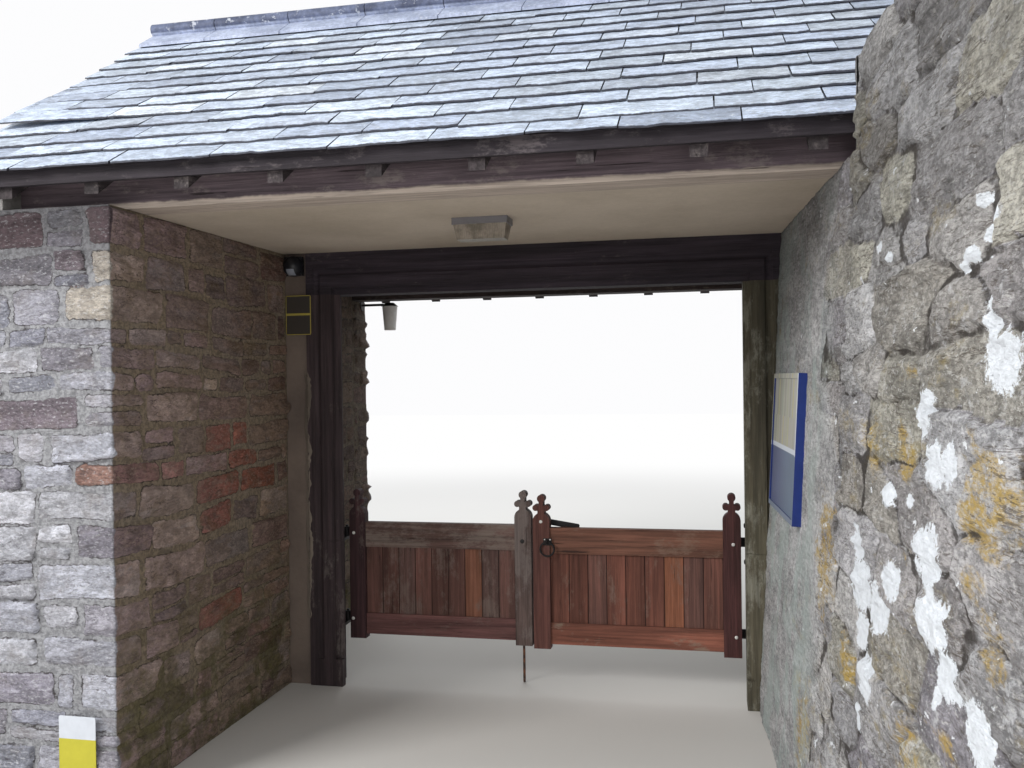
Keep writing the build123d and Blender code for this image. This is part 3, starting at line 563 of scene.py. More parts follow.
def sensor_look():
    """Black case with a pale window in its front."""
    k = Look("sensor_case", 0.35)
    inside = k.step(k.normal(1), -0.1, -0.3)
    for axis, low, high in zip((0, 2), *SENSOR_WINDOW):
        inside = k.times(inside, k.along(axis, low - 0.001, low + 0.001),
                         k.along(axis, high + 0.001, high - 0.001))
    case = k.lay((26, 27, 32), (k.blots(0.42, 0.75, 11, 6, 0.7), 0.3, (62, 60, 60)))
    k.bump(0.0006, 60, 4)
    return k.done(k.mix(inside, case, (128, 132, 142)))


def lens_look():
    """Cloudy ribbed plastic."""
    k = Look("light_lens", 0.3)
    colour = k.mix(k.blots(0.4, 0.65, 12, 6, 0.7), (150, 140, 128), (112, 104, 92))
    rib = k.math("SINE", k.times(k.axis(0), 2 * pi / LENS_RIB))
    k.bump(0.0012, rib)
    # The colour follows the ribs, lighter on the crests and darker between them: painted light and shade.
    return k.done(k.shade(colour, (rib, 0.92, 1.04)))


def plate_look(name, field_tone, mark_tone, corners, border, band):
    """A thin plain plate with a border and one band; corners are its low and high ones in X and Z."""
    k = Look(name, 0.45)
    marks = k.times(k.along(2, band[0], band[0] + 0.0015), k.along(2, band[1] + 0.0015, band[1]))
    for axis, low, high in zip((0, 2), *corners) if border else ():
        marks = k.most(marks, k.along(axis, low + border, low + border - 0.001),
                       k.along(axis, high - border, high - border + 0.001))
    k.bump(0.0004, 60, 4)
    return k.done(k.shade(k.mix(marks, field_tone, mark_tone), (k.noise(16, 6, 0.7), 0.9, 1.06)))


def dress(material, nodes):
    for name in nodes.split():
        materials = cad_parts[name].data.materials
        materials.clear()
        materials.append(material)


rubble_look()
lichen_look()
slate_look()
plaster_look("old_fillet", (118, 108, 98), (88, 80, 72))
metal_look("bright_iron", (214, 212, 208), (150, 136, 124), 0.3, 0.5, 0.1)
plate_look("wall_sign", (58, 53, 49), (158, 144, 66), SIGN, 0.0045, SIGN_BAND)
plate_look("caution_board", (200, 204, 212), (184, 176, 58), CAUTION, 0, CAUTION_BAND)
dress(mortar_look("lime_mortar", (158, 156, 154), (126, 122, 120)), "left_wall left_rear_wall gables")
dress(mortar_look("rough_mortar", (158, 150, 136), (120, 112, 104), 40),
      "right_wall approach_wall right_rear_wall")
dress(ridge_look(), "ridge_tiles")
dress(plaster_look("ceiling_plaster", (194, 181, 166), (178, 165, 149)), "ceiling")
dress(plaster_look("jamb_plaster", (116, 103, 94), (92, 81, 75)), "jamb")
for nodes, *wood in (
        ("left_post", "dark_oak_post", (58, 48, 50), 2, (104, 96, 92), 0.25),
        ("right_post", "weathered_post", (80, 75, 62), 2, (136, 134, 122), 0.6),
        ("lintel", "dark_oak_lintel", (50, 43, 50), 0, (92, 84, 84), 0.15),
        ("front_wall_plate", "front_plate", (98, 86, 92), 0, (138, 128, 126), 0.4, None,
         (PALE_FOOT, (184, 170, 159))),
        ("rear_wall_plate ridge_board roof_boarding", "roof_timber_x", (58, 50, 50), 0, (112, 104, 98), 0.3),
        ("rafters", "roof_timber_y", (62, 56, 58), 1, (118, 110, 108), 0.4),
        ("eaves_boards", "eaves_board", (50, 45, 50), 0, (104, 96, 98), 0.35),
        ("left_gate_hinge_stile", "left_hinge_stile", (62, 42, 44), 2, (104, 92, 88), 0.35),
        ("right_gate_hinge_stile", "right_hinge_stile", (73, 45, 44), 2, (104, 86, 80), 0.25),
        ("left_gate_meeting_stile", "left_meeting_stile", (86, 72, 68), 2, (124, 114, 110), 0.9),
        ("right_gate_meeting_stile", "right_meeting_stile", (92, 60, 54), 2, (116, 98, 90), 0.4),
        ("left_gate_top_rail", "left_rails", (98, 76, 70), 0, (130, 118, 110), 0.8),
        ("right_gate_top_rail", "right_rails", (107, 73, 60), 0, (126, 104, 90), 0.45),
        ("left_gate_bottom_rail", "left_low_rail", (106, 73, 70), 0, (120, 104, 96), 0.35),
        ("right_gate_bottom_rail", "right_low_rail", (124, 78, 64), 0, (136, 122, 108), 0.4),
        ("left_gate_boards", "left_boards", (98, 68, 61), 2, (120, 104, 96), 0.6, LEFT_PLANKS),
        ("right_gate_boards", "right_boards", (106, 67, 56), 2, (122, 102, 92), 0.4, RIGHT_PLANKS)):
    dress(wood_look(*wood), nodes)
iron = metal_look("black_iron", (34, 32, 33), (84, 56, 42), 0.25)
dress(iron, "latch_bar latch_bolt latch_keeper ring_plate ring_handle bolt_guides")
for leaf in ("left_gate_", "right_gate_"):
    dress(iron, f"{leaf}hinge_bands {leaf}hinge_hooks")
dress(metal_look("rusty_iron", (66, 50, 44), (118, 76, 54), 0.9), "drop_bolt")
dress(metal_look("lamp_metal", (44, 42, 42), (74, 62, 52), 0.2), "lamp_bracket")
dress(smooth_look("lamp_glass", (232, 230, 228), (176, 170, 160)), "lamp_shade")
dress(smooth_look("light_body", (112, 110, 114), (88, 82, 80)), "light_base")
dress(lens_look(), "light_lens")
dress(sensor_look(), "sensor")
dress(board_look(), "board_frame board_panel")


# Masonry
class Strip:
    """Upright wall faces unrolled: s runs from left to right seen from outside, t from the foot up."""

    def __init__(self, feet, heads):
        self.feet, self.heads = np.array(feet, float), np.array(heads, float)
        steps = self.feet[1:] - self.feet[:-1]
        self.widths = np.linalg.norm(steps, axis=1)
        self.breaks = np.concatenate([[0.0], np.cumsum(self.widths)])
        self.height = float(np.linalg.norm(self.heads[0] - self.feet[0]))
        normals = np.cross(steps, (self.heads - self.feet)[:-1])
        self.normals = normals / np.linalg.norm(normals, axis=1)[:, None]

    def at(self, s, t, depth):
        k = np.clip(np.searchsorted(self.breaks, s, side="right") - 1, 0, len(self.widths) - 1)
        f = ((s - self.breaks[k]) / self.widths[k])[:, None]
        foot = self.feet[k] * (1 - f) + self.feet[k + 1] * f
        head = self.heads[k] * (1 - f) + self.heads[k + 1] * f
        out = self.normals[k].copy()
        for n in range(1, len(self.breaks) - 1):
            left, right = self.normals[n - 1], self.normals[n]
            out[np.abs(s - self.breaks[n]) < 1e-6] = (left + right) / (1 + left @ right)
        return foot + (head - foot) * (t / self.height)[:, None] + out * depth[:, None]


def upright(z0, z1, *places):
    """A strip over plumb faces between (x, y) corners."""
    return Strip([(x, y, z0) for x, y in places], [(x, y, z1) for x, y in places])


def graded(low, high, first, last):
    """Places from low to high whose spacing changes evenly from first to last."""
    count = max(1, int(round((high - low) * 2 / (first + last))))
    u = np.linspace(0, 1, count + 1)
    return low + (high - low) * (u * 2 * first + u * u * (last - first)) / (first + last)


def spread(a, b):
    """Every pair of a and b in two flat arrays, a changing last."""
    return [pair.ravel() for pair in np.meshgrid(a, b, indexing="ij")]


def skin(soup, strip, relief, row, cells=None, top=None):
    """An uneven surface over a strip, tucked into the wall all round. row is the grid's height; cells has the
    first and last width of each face's grid where it isn't the same; top is the head along the strip."""
    columns = [np.array([0.0])]
    for n, (first, last) in enumerate(cells or [(row, row)] * len(strip.widths)):
        columns.append(graded(strip.breaks[n], strip.breaks[n + 1], first, last)[1:])
    columns = np.concatenate(columns)
    across = np.concatenate([columns[:1], columns, columns[-1:]])
    up = np.linspace(0, 1, int(round(strip.height / row)) + 1)
    up = np.concatenate([[0.0], up, [1.0]])
    s, share = spread(across, up)
    i, j = spread(np.arange(len(across)), np.arange(len(up)))
    t = share * (strip.height if top is None else np.interp(s, *top))
    depth, tint = relief(s, t)
    rim = (i == 0) | (j == 0) | (i == len(across) - 1) | (j == len(up) - 1)
    soup.add(strip.at(s, t, np.where(rim, TUCK, depth)), grid_quads(len(across), len(up)), tint)


def ledges(steps, low):
    """Level steps with a short rise before each next one."""
    return np.floor(steps) + fade(steps - np.floor(steps), low, 1.0)


def course_heights(total, low, high, rng):
    """Course bounds from the foot to the head; the last one takes up what is left."""
    bounds = [0.0]
    while total - bounds[-1] > high + low:
        bounds.append(bounds[-1] + rng.uniform(low, high))
    left = total - bounds[-1]
    bounds += [bounds[-1] + left / 2, total] if left > high else [total]
    return np.array(bounds)


# Split stones: lengths, course height above which one may be two, joint width, raggedness of outlines, how
# far faces stand proud and tilt, and the height of their roughness and steps
LENGTH, SPLIT, JOINT, RAGGED = (0.13, 0.42), 0.12, 0.007, 0.22
PROUD, TILT, ROUGH, STEP = (0.003, 0.018), 0.02, 0.0058, 0.0078


def coursed(rng, strip, bounds, special=()):
    """Split stones in courses, with quoins round the strip's corners; gives depths and tints at points.
    special has single stones: (place in s, course, length left of a corner, length right of it, tone)."""
    stones, rows, starts = [], [], []
    for n in range(len(bounds) - 1):
        joints = [0.0]
        for corner in list(strip.breaks[1:-1]) + [None]:
            a, b = rng.uniform(0.2, 0.36), rng.uniform(0.1, 0.2)
            if n % 2:
                a, b = b, a
            for where, course, left, right, _ in special:
                if corner is not None and course == n and abs(where - corner) < 0.01:
                    a, b = left, right
            goal = strip.breaks[-1] if corner is None else corner - a
            while goal - joints[-1] > 1e-6:
                w = rng.uniform(*LENGTH) * (0.7 + 3.0 * (bounds[n + 1] - bounds[n]))
                if goal - joints[-1] - w < LENGTH[0] * 0.6:
                    w = goal - joints[-1]
                joints.append(joints[-1] + w)
            if corner is not None:
                joints.append(corner + b)
        starts.append(len(stones))
        rows.append(np.array(joints))
        for s0, s1 in zip(joints[:-1], joints[1:]):
            split = bounds[n + 1] - bounds[n] > SPLIT and rng.uniform() < 0.4 and s1 - s0 < 0.4
            tone = rng.uniform(0, 0.84)
            for where, course, _, _, own in special:
                if course == n and s0 < where < s1:
                    tone, split = own, False
            middle = rng.uniform(0.38, 0.62) if split else 2.0
            for part in (0, 1):
                stones.append([s0, s1, bounds[n], bounds[n + 1], middle,
                               rng.uniform(0, 0.84) if part else tone, rng.uniform(), rng.uniform(*PROUD),
                               rng.uniform(-1, 1), rng.uniform(-1, 1), rng.uniform(0.006, 0.035),
                               *rng.uniform(0, 1, 8) ** 2])
    table = np.array(stones)
    seed = int(rng.integers(1, 900))

    def relief(s, t):
        ws = waves(s, s, t, seed, (3.1, 5.3, 0.012), (17, 21, 0.007), (52, 58, 0.0035))
        wt = waves(t, s, t, seed + 3, (1.7, 1.1, 0.02), (8, 11, 0.007), (47, 55, 0.0035))
        course = np.clip(np.searchsorted(bounds, wt, side="right") - 1, 0, len(bounds) - 2)
        index = np.zeros(len(s), int)
        for n in range(len(bounds) - 1):
            on = course == n
            place = np.clip(np.searchsorted(rows[n], ws[on], side="right") - 1, 0, len(rows[n]) - 2)
            index[on] = starts[n] + 2 * place
        foot, head, middle = table[index, 2:5].T
        cut = foot + (head - foot) * middle
        upper = wt > cut
        index = index + upper
        s0, s1, foot, head, _, tone, level, proud, lean_s, lean_t, radius, *nicks = table[index].T
        t0, t1 = np.where(upper, cut, foot), np.where(upper, head, np.minimum(cut, head))
        u = np.clip((ws - s0) / (s1 - s0), 0, 1)
        v = np.clip((wt - t0) / (t1 - t0), 0, 1)
        nick = np.minimum(t1 - t0, 0.15) * RAGGED
        near_x = np.minimum(ws - s0 - nick * (nicks[0] * v + nicks[1] * (1 - v)),
                            s1 - ws - nick * (nicks[2] * v + nicks[3] * (1 - v)))
        near_y = np.minimum(wt - t0 - nick * (nicks[4] * u + nicks[5] * (1 - u)) * 0.8,
                            t1 - wt - nick * (nicks[6] * u + nicks[7] * (1 - u)) * 0.8)
        over_x, over_y = np.maximum(radius - near_x, 0), np.maximum(radius - near_y, 0)
        rim = np.where((over_x > 0) & (over_y > 0), radius - np.hypot(over_x, over_y),
                       np.minimum(near_x, near_y))
        rim = rim - JOINT * (0.5 + 0.35 * field(s, t, seed + 6, 6, 6))
        rim = rim - 0.012 * np.maximum(field(s, t, seed + 7, 4, 5), 0)
        key = index * 0.731
        face = proud + TILT * (lean_s * (u - 0.5) + lean_t * (v - 0.5) * 1.6)
        face = face + ROUGH * waves(0, s, t, seed + 8, (8, 20, 1), (18, 62, 0.6), key=key)
        face = face + 0.005 * field(s, t, seed + 15, 0.9, 4.5)
        face = face + STEP * ledges(waves(0, s, t, seed + 10, (4, 18, 1.6), (14, 46, 0.8), key=key), 0.7)
        face = face + ROUGH * 0.2 * field(s, t, seed + 12, 75, 95)
        face = face * fade(rim, -0.004, 0.014) ** 0.5
        bed = waves(0.0028, s, t, seed + 13, (11, 13, 0.0014), (70, 70, 0.0008))
        blend = fade(rim, -0.002, 0.006)
        depth = np.maximum(bed * (1 - blend) + np.maximum(face, bed * 0.4) * blend, 0.0012)
        return depth, np.stack([tone, level, np.clip(0.5 + rim / 0.03, 0, 1), np.zeros(len(s))], axis=1)

    return relief


def rubble(rng, strip, length, height, bold):
    """Irregular random stones with dark crevices and split faces; gives depths and tints at points."""
    wide, tall = int(strip.breaks[-1] / length) + 3, int(strip.height / height) + 3
    count = (wide + 4) * (tall + 4)
    jitter = rng.uniform(-0.42, 0.42, (count, 2)) * (1.0, 0.55)
    weight = rng.uniform(-0.2, 0.2, count)
    proud, pick, level = rng.uniform(0.25, 1, count), rng.uniform(0, 1, count), rng.uniform(0, 1, count)
    tilt = rng.uniform(-1, 1, (count, 2))
    seed = int(rng.integers(1, 900))

    def relief(s, t):
        ws = waves(s / length, s, t, seed, (1.1, 1.6, 0.35), (5, 8, 0.07), (23, 27, 0.022))
        wt = waves(t / height, s, t, seed + 3, (0.9, 0.8, 0.45), (7, 9, 0.09), (25, 30, 0.05))
        best, second, mine = np.full(len(s), 9.0), np.full(len(s), 9.0), np.zeros(len(s), int)
        row = np.floor(wt).astype(int)
        for dj in (-1, 0, 1):
            j = row + dj
            column = np.floor(ws - 0.5 * (j % 2)).astype(int)
            for di in (-1, 0, 1, 2):
                i = column + di
                k = np.clip((j + 2) * (wide + 4) + i + 2, 0, count - 1)
                dx = ws - (i + 0.5 * (j % 2) + jitter[k, 0])
                dy = wt - (j + 0.5 + jitter[k, 1])
                far = (np.abs(dx) ** 3 + np.abs(dy * 1.15) ** 3) ** (1 / 3) + weight[k]
                closer = far < best
                second = np.where(closer, best, np.minimum(second, far))
                mine = np.where(closer, k, mine)
                best = np.minimum(best, far)
        rim = (second - best) * 0.5 * height - 0.006 * (1 + 0.7 * field(s, t, seed + 6, 7, 9))
        rim = rim - 0.02 * np.maximum(field(s, t, seed + 7, 3, 4) - 0.25, 0)
        key = mine * 0.731
        up = wt - row - 0.5
        face = bold * (0.008 + 0.014 * proud[mine] + 0.016 * tilt[mine, 1] * up + 0.006 * tilt[mine, 0])
        face = waves(face, s, t, seed + 8, (4, 16, 0.006), (11, 38, 0.004), key=key)
        steps = waves(0, s, t, seed + 10, (2.4, 14, 1.7), (9, 40, 0.9), key=key)
        face = face + bold * 0.009 * ledges(steps, 0.75) + 0.0018 * field(s, t, seed + 12, 70, 80)
        depth = np.maximum(face, 0.002) * fade(rim, -0.004, 0.016) ** 0.5
        depth = np.maximum(depth, waves(0.0022, s, t, seed + 13, (30, 34, 0.001)))
        edge = np.clip(0.5 + rim / 0.03, 0, 1)
        return depth, np.stack([pick[mine], level[mine], edge, np.full(len(s), 0.5)], axis=1)

    return relief


# Lichen on the right wall: middle Y and Z, half lengths along the wall and upwards
WHITE = [
    (-3.147, 1.704, 0.11, 0.065), (-3.099, 1.774, 0.05, 0.03), (-2.712, 1.595, 0.085, 0.065),
    (-2.83, 1.49, 0.09, 0.06), (-2.93, 1.5, 0.06, 0.05), (-2.422, 1.377, 0.07, 0.04),
    (-2.603, 1.386, 0.04, 0.02), (-2.769, 1.285, 0.12, 0.08), (-2.119, 1.2, 0.09, 0.065),
    (-2.17, 1.09, 0.13, 0.09), (-2.36, 1.07, 0.12, 0.08), (-2.192, 0.97, 0.08, 0.07),
    (-2.297, 0.863, 0.09, 0.085), (-2.498, 1.169, 0.09, 0.055), (-2.83, 1.16, 0.12, 0.075),
    (-2.94, 1.07, 0.1, 0.06), (-2.879, 1.01, 0.03, 0.03), (-3.135, 1.028, 0.11, 0.075),
    (-3.035, 2.013, 0.036, 0.017), (-3.112, 1.973, 0.039, 0.018), (-3.065, 1.946, 0.04, 0.019),
    (-2.994, 1.914, 0.043, 0.019), (-2.938, 1.893, 0.028, 0.012), (-3.093, 1.811, 0.04, 0.018),
    (-3.087, 1.778, 0.054, 0.026), (-2.203, 2.036, 0.055, 0.019), (-2.318, 1.996, 0.051, 0.018),
    (-2.204, 0.735, 0.04, 0.05)]
YELLOW = [
    (-3.1, 1.45, 0.2, 0.075), (-2.65, 1.67, 0.09, 0.03), (-1.6, 1.07, 0.12, 0.16), (-1.36, 0.4, 0.14, 0.12),
    (-2.61, 1.2, 0.06, 0.1), (-2.98, 0.96, 0.08, 0.05), (-3.05, 1.3, 0.08, 0.03), (-3.18, 1.17, 0.06, 0.08),
    (-2.56, 1.5, 0.08, 0.05), (-2.24, 1.48, 0.09, 0.06), (-2.13, 0.88, 0.1, 0.09), (-2.75, 0.8, 0.12, 0.07)]


def right_x(y, z):
    return RIGHT_FACE_X - RIGHT_SPLAY * y + RIGHT_BATTER * z


def spots(y, z, places):
    """How far a point lies inside the nearest of some patches: 0.5 at a patch's edge."""
    inside = np.zeros(len(y))
    for middle_y, middle_z, half_y, half_z in places:
        far = np.hypot((y - middle_y) / half_y, (z - middle_z) / half_z)
        inside = np.maximum(inside, np.clip(0.5 + (1 - far) * 0.35, 0, 1))
    return inside


def weathered(relief, strip, seed=5):
    """The right wall's marks over its stones: worn render near the post, and lichen."""
    def marked(s, t):
        depth, tint = relief(s, t)
        y, z = strip.at(s, t, np.zeros(len(s)))[:, 1:].T
        coat = fade(waves(y, s, t, seed, (1.9, 2.3, 0.22), (7, 8, 0.1)), *RENDER_START)
        plain = waves(0.0062, s, t, seed + 2, (5, 7, 0.0042), (26, 30, 0.0028), (70, 80, 0.0018))
        flat = fade(y, *FLAT_Y) * fade(z, *FLAT_LOW) * fade(z, *FLAT_HIGH)
        plain = np.maximum(plain * (1 - flat * 0.6), 0.0012)
        depth = np.minimum(depth, 0.02 - 0.015 * flat) * (1 - coat) + plain * coat
        white = spots(y, z, WHITE)
        tint[:, :3] = tint[:, :3] * (1 - coat[:, None]) + coat[:, None] * (0.62, 0.5, 0.8)
        tint[:, 3] = 0.5 + 0.5 * white - 0.5 * spots(y, z, YELLOW) * (white < 0.3)
        return depth + 0.0015 * (white > 0.5), tint

    return marked


def left_masonry():
    rng = np.random.default_rng(12)
    bounds = np.array([0, 0.12, 0.24, 0.37, 0.53, 0.67, 0.81, 0.97, 1.12, 1.26, 1.36, 1.498, 1.643, 1.73,
                       1.83, 1.915, 2.073, 2.226, WALL_HEAD])
    strip = upright(0, WALL_HEAD, (-OUTER_X, -FACE_Y), (LEFT_INNER_X, -FACE_Y), (LEFT_INNER_X, JAMB_Y))
    fold = strip.breaks[1]
    # Cream and grey quoins, then red stones in the passage and a mauve top course
    special = [(fold, 15, 0.2, 0.36, 1.0), (fold, 16, 0.09, 0.22, 1.0), (fold, 13, 0.06, 0.3, 0.3)]
    for tone, places in (
            (0.92, ((0.3, 9), (0.62, 8), (0.75, 7), (0.95, 9), (1.2, 9), (1.1, 10), (0.5, 9), (1.35, 8),
                    (0.85, 10), (1.0, 4))),
            (0.8, ((-0.08, 17), (-0.3, 17), (-0.5, 17), (0.1, 17), (0.4, 17)))):
        special += [(fold + a, course, 0, 0, tone) for a, course in places]
    near, far = Soup(), Soup()
    skin(near, strip, coursed(rng, strip, bounds, special), STONE_CELL, ((0.0085, 0.0085), (0.009, 0.009)))
    near.make("left_wall_stones", "gateway", "rubble", "rubble_stone")
    plain = course_heights(WALL_HEAD, 0.1, 0.17, rng)
    low = course_heights(STEP_HEAD, 0.1, 0.17, rng)
    for head, courses, *places in (
            (WALL_HEAD, plain, (LEFT_INNER_X, BACK_Y), (LEFT_REAR_X, BACK_Y), (LEFT_REAR_X, STEP_Y)),
            (STEP_HEAD, low, (LEFT_REAR_X, STEP_Y), (LEFT_REAR_X, FACE_Y), (-OUTER_X, FACE_Y),
             (-OUTER_X, STEP_Y)),
            (WALL_HEAD, plain, (-OUTER_X, STEP_Y), (-OUTER_X, -FACE_Y))):
        strip = upright(0, head, *places)
        skin(far, strip, coursed(rng, strip, courses), OUTER_CELL)
    far.make("left_outer_stones", "gateway", "rubble", "rubble_stone")


def right_masonry():
    rng = np.random.default_rng(27)
    n, f = APPROACH_NEAR, APPROACH_FAR
    near, far = Soup(), Soup()

    def face(z, y):
        return right_x(y, z), y, z

    inner = Strip([face(0, POST_Y), face(0, f)], [face(WALL_HEAD, POST_Y), face(WALL_HEAD, f)])
    lane = Strip([face(0, f), face(0, n), (OUTER_X, n, 0)],
                 [face(APPROACH_HEAD, f), face(APPROACH_HEAD, n), (OUTER_X, n, APPROACH_HEAD)])
    top = Strip(lane.heads[:2], [(OUTER_X, f, APPROACH_HEAD), (OUTER_X, n, APPROACH_HEAD)])
    skin(near, inner, weathered(rubble(rng, inner, 0.42, 0.15, 0.6), inner), 0.012, ((0.014, 0.0115),))
    skin(near, lane, weathered(rubble(rng, lane, 0.5, 0.175, 1.1), lane), 0.0098,
         ((0.0105, 0.0085), (0.014, 0.02)))
    skin(near, top, rubble(rng, top, 0.34, 0.25, 0.7), TOP_CELL)
    near.make("right_wall_stones", "gateway", "lichen_rubble", "lichen_stone")
    for height, foot, head, *places in (
            (0.17, WALL_HEAD, APPROACH_HEAD, (OUTER_X, f), (right_x(f, WALL_HEAD), f)),
            (0.19, 0, APPROACH_HEAD, (OUTER_X, n), (OUTER_X, f)),
            (0.18, 0, WALL_HEAD, (OUTER_X, f), (OUTER_X, STEP_Y)),
            (0.17, 0, STEP_HEAD, (OUTER_X, STEP_Y), (OUTER_X, FACE_Y), (RIGHT_REAR_X, FACE_Y),
             (RIGHT_REAR_X, STEP_Y)),
            (0.17, 0, WALL_HEAD, (RIGHT_REAR_X, STEP_Y), (RIGHT_REAR_X, BACK_Y))):
        strip = upright(foot, head, *places)
        skin(far, strip, rubble(rng, strip, 0.31, height, 0.8), RIGHT_OUTER_CELL)
    far.make("right_outer_stones", "gateway", "lichen_rubble", "lichen_stone")


def gable_masonry():
    rng = np.random.default_rng(31)
    ys = np.array([-FACE_Y, RIDGE_Y, FACE_Y])
    tops = []
    for y in ys:
        rise = min(EAVE_Y + y, EAVE_Y + 2 * RIDGE_Y - y) * PITCH_TAN
        tops.append(FRONT_EAVE_Z + rise - UNDER_SLATES / PITCH_COS - GABLE_GAP - WALL_HEAD)
    for side, name in ((-1, "left"), (1, "right")):
        x, y0 = side * OUTER_X, -side * FACE_Y
        strip = upright(WALL_HEAD, WALL_HEAD + max(tops), (x, y0), (x, -y0))
        bounds = course_heights(max(tops), 0.09, 0.16, rng)
        along = np.abs(ys - y0)
        order = np.argsort(along)
        soup = Soup()
        skin(soup, strip, coursed(rng, strip, bounds), GABLE_CELL, top=(along[order], np.array(tops)[order]))
        soup.make(name + "_gable_stones", "gateway", "rubble", "rubble_stone")


# Slates
def slope_run(side):
    return EAVE_Y - side * RIDGE_Y


def slope_points(side, xs, run, depth):
    """Points at a horizontal run from the eave and a depth below the slates' face."""
    eave_z = FRONT_EAVE_Z + (slope_run(-1) - slope_run(side)) * PITCH_TAN
    return np.stack([xs, side * (EAVE_Y - run), eave_z + run * PITCH_TAN - depth / PITCH_COS], 1)


def slate(soup, side, course, gauge, x0, x1, rng):
    """One slate: a thin riven slab with a ragged tail, its head tucked under the next course."""
    gap = rng.uniform(0.0012, 0.004)
    xs = np.linspace(x0 + gap, x1 - gap, max(3, int((x1 - x0) / 0.05)) + 1)
    tail = course * gauge + rng.uniform(-0.004, 0.004) + (0.004 if course == 0 else 0)
    lift = rng.uniform(0.0005, 0.0045)
    seed = int(rng.integers(1, 9999))
    lean = rng.uniform(-0.004, 0.004)
    tops, unders = [], []
    for part in (0.0, 0.06, 0.5, 1.0, 1.75 if course < COURSES - 1 else 1.05):
        run = np.full(len(xs), tail + part * gauge)
        if part == 0:
            run = run + lattice_noise(np.stack([xs * 28, xs * 0, xs * 0], 1), seed) * 0.006
        run = run + (xs - x0) / (x1 - x0) * lean * (1 - min(part, 1))
        depth = part * LAP - lift * max(0, 1 - part) + 0 * xs
        if side < 0 and course >= LIFTED_COURSE:
            share = np.clip((LIFTED_X - xs) / LIFTED_WIDTH, 0, 1)
            share = share * max(0.0, 1 - (course - LIFTED_COURSE) * 0.3)
            depth = depth - LIFT * share
            run = run - SLIP * share * (1 - min(part, 1))
        wave = lattice_noise(np.stack([xs * 9, run * 9, xs * 0 + seed], 1), seed) * 0.0014
        tops.append(slope_points(side, xs, run, depth + wave))
        unders.append(slope_points(side, xs, run, depth + wave + SLATE))
    tops, unders = np.array(tops), np.array(unders)
    points = np.concatenate([unders[:1], tops, unders[-1:]])
    pick, level = rng.uniform(0, 1), rng.uniform(0, 1)
    # The third tint marks edges: 0 under the slate and low on its sides, 0.5 along the tail; riven_slate
    # darkens these as painted shade.
    rim = np.ones(points.shape[:2])
    rim[[0, -1]] = 0
    rim[1] = 0.5
    rim[:, [0, -1]] = np.minimum(rim[:, [0, -1]], 0.75)
    tint = np.stack([np.full(rim.size, pick), np.full(rim.size, level), rim.ravel()], 1)
    soup.add(points, grid_quads(*rim.shape)[:, ::side], tint)
    for column, turn in ((0, -side), (-1, side)):
        edge = np.stack([tops[:, column], unders[:, column]], 1)
        soup.add(edge, grid_quads(len(tops), 2)[:, ::turn], (pick, level, 0.1))


def slates(side, name):
    rng = np.random.default_rng(40 + side)
    gauge = (slope_run(side) - RIDGE_GAP) / COURSES
    soup, previous = Soup(), []
    for course in range(COURSES):
        x = -VERGE_X + rng.uniform(-0.012, 0.01)
        joints = []
        while x < VERGE_X - 0.01:
            w = rng.uniform(0.3, 0.52) * (1 - 0.03 * course)
            for old in previous:
                if abs(x + w - old) < 0.06:
                    w += 0.08
            if VERGE_X - x - w < 0.14:
                w = VERGE_X - x
            joints.append(x + w)
            slate(soup, side, course, gauge, x, x + w, rng)
            x += w
        previous = joints
    return soup.make(name, "gateway", "slate", "riven_slate")


# Bolt heads, plates and the old fillet
def dome(soup, place, axis, radius, height):
    """A round head whose foot is centred on a place and which rises along an axis of length 1."""
    out = Vector(axis)
    across = out.orthogonal().normalized()
    along = out.cross(across)
    sides, profile = 14, ((1.0, 0.0), (1.0, 0.25), (0.93, 0.55), (0.72, 0.82), (0.38, 0.96), (0.0, 1.0))
    points = []
    for r, h in profile:
        for n in range(sides + 1):
            turn = 2 * pi * n / sides
            spoke = (across * cos(turn) + along * sin(turn)) * (radius * r)
            points.append(tuple(Vector(place) + spoke + out * (height * h)))
    soup.add(points, grid_quads(len(profile), sides + 1)[:, ::-1])


def bolts():
    """Rows of round heads; each has a place, an axis and a radius."""
    lane, passage, yard = (0, -1, 0), (-1, 0, 0), (0, 1, 0)
    for name, body, look, rise, heads in (
            ("left_leaf_bolts", "left_gate", "bright_iron", 0.55, [
                ((x, LEAF_Y, z), lane, 0.009) for x, z in ((-1.086, 0.824), (-1.095, 0.336))]),
            ("right_leaf_bolts", "right_gate", "bright_iron", 0.55, [
                *(((x, LEAF_Y, z), lane, 0.009) for x, z in ((1.02, 0.806), (1.031, 0.32), (-0.002, 0.907))),
                *(((x, LEAF_Y - 0.004, 0.811), lane, 0.004) for x in (0.019, 0.049))]),
            ("frame_bolts", "gateway", "black_iron", 0.55, [
                *(((1.079, 0.012, z), passage, 0.013) for z in (0.915, 0.727)),
                *(((x, 0.053, z), yard, 0.009) for x in (-1.177, 1.125)
                  for z in (0.245, 0.325, 0.731, 0.811))]),
            ("stile_plug", "left_gate", "lamp_metal", 0.25, [((-0.1065, LEAF_Y, 0.797), lane, 0.012)])):
        soup = Soup()
        for place, axis, radius in heads:
            dome(soup, place, axis, radius, radius * rise)
        soup.make(name, body, "iron", look)


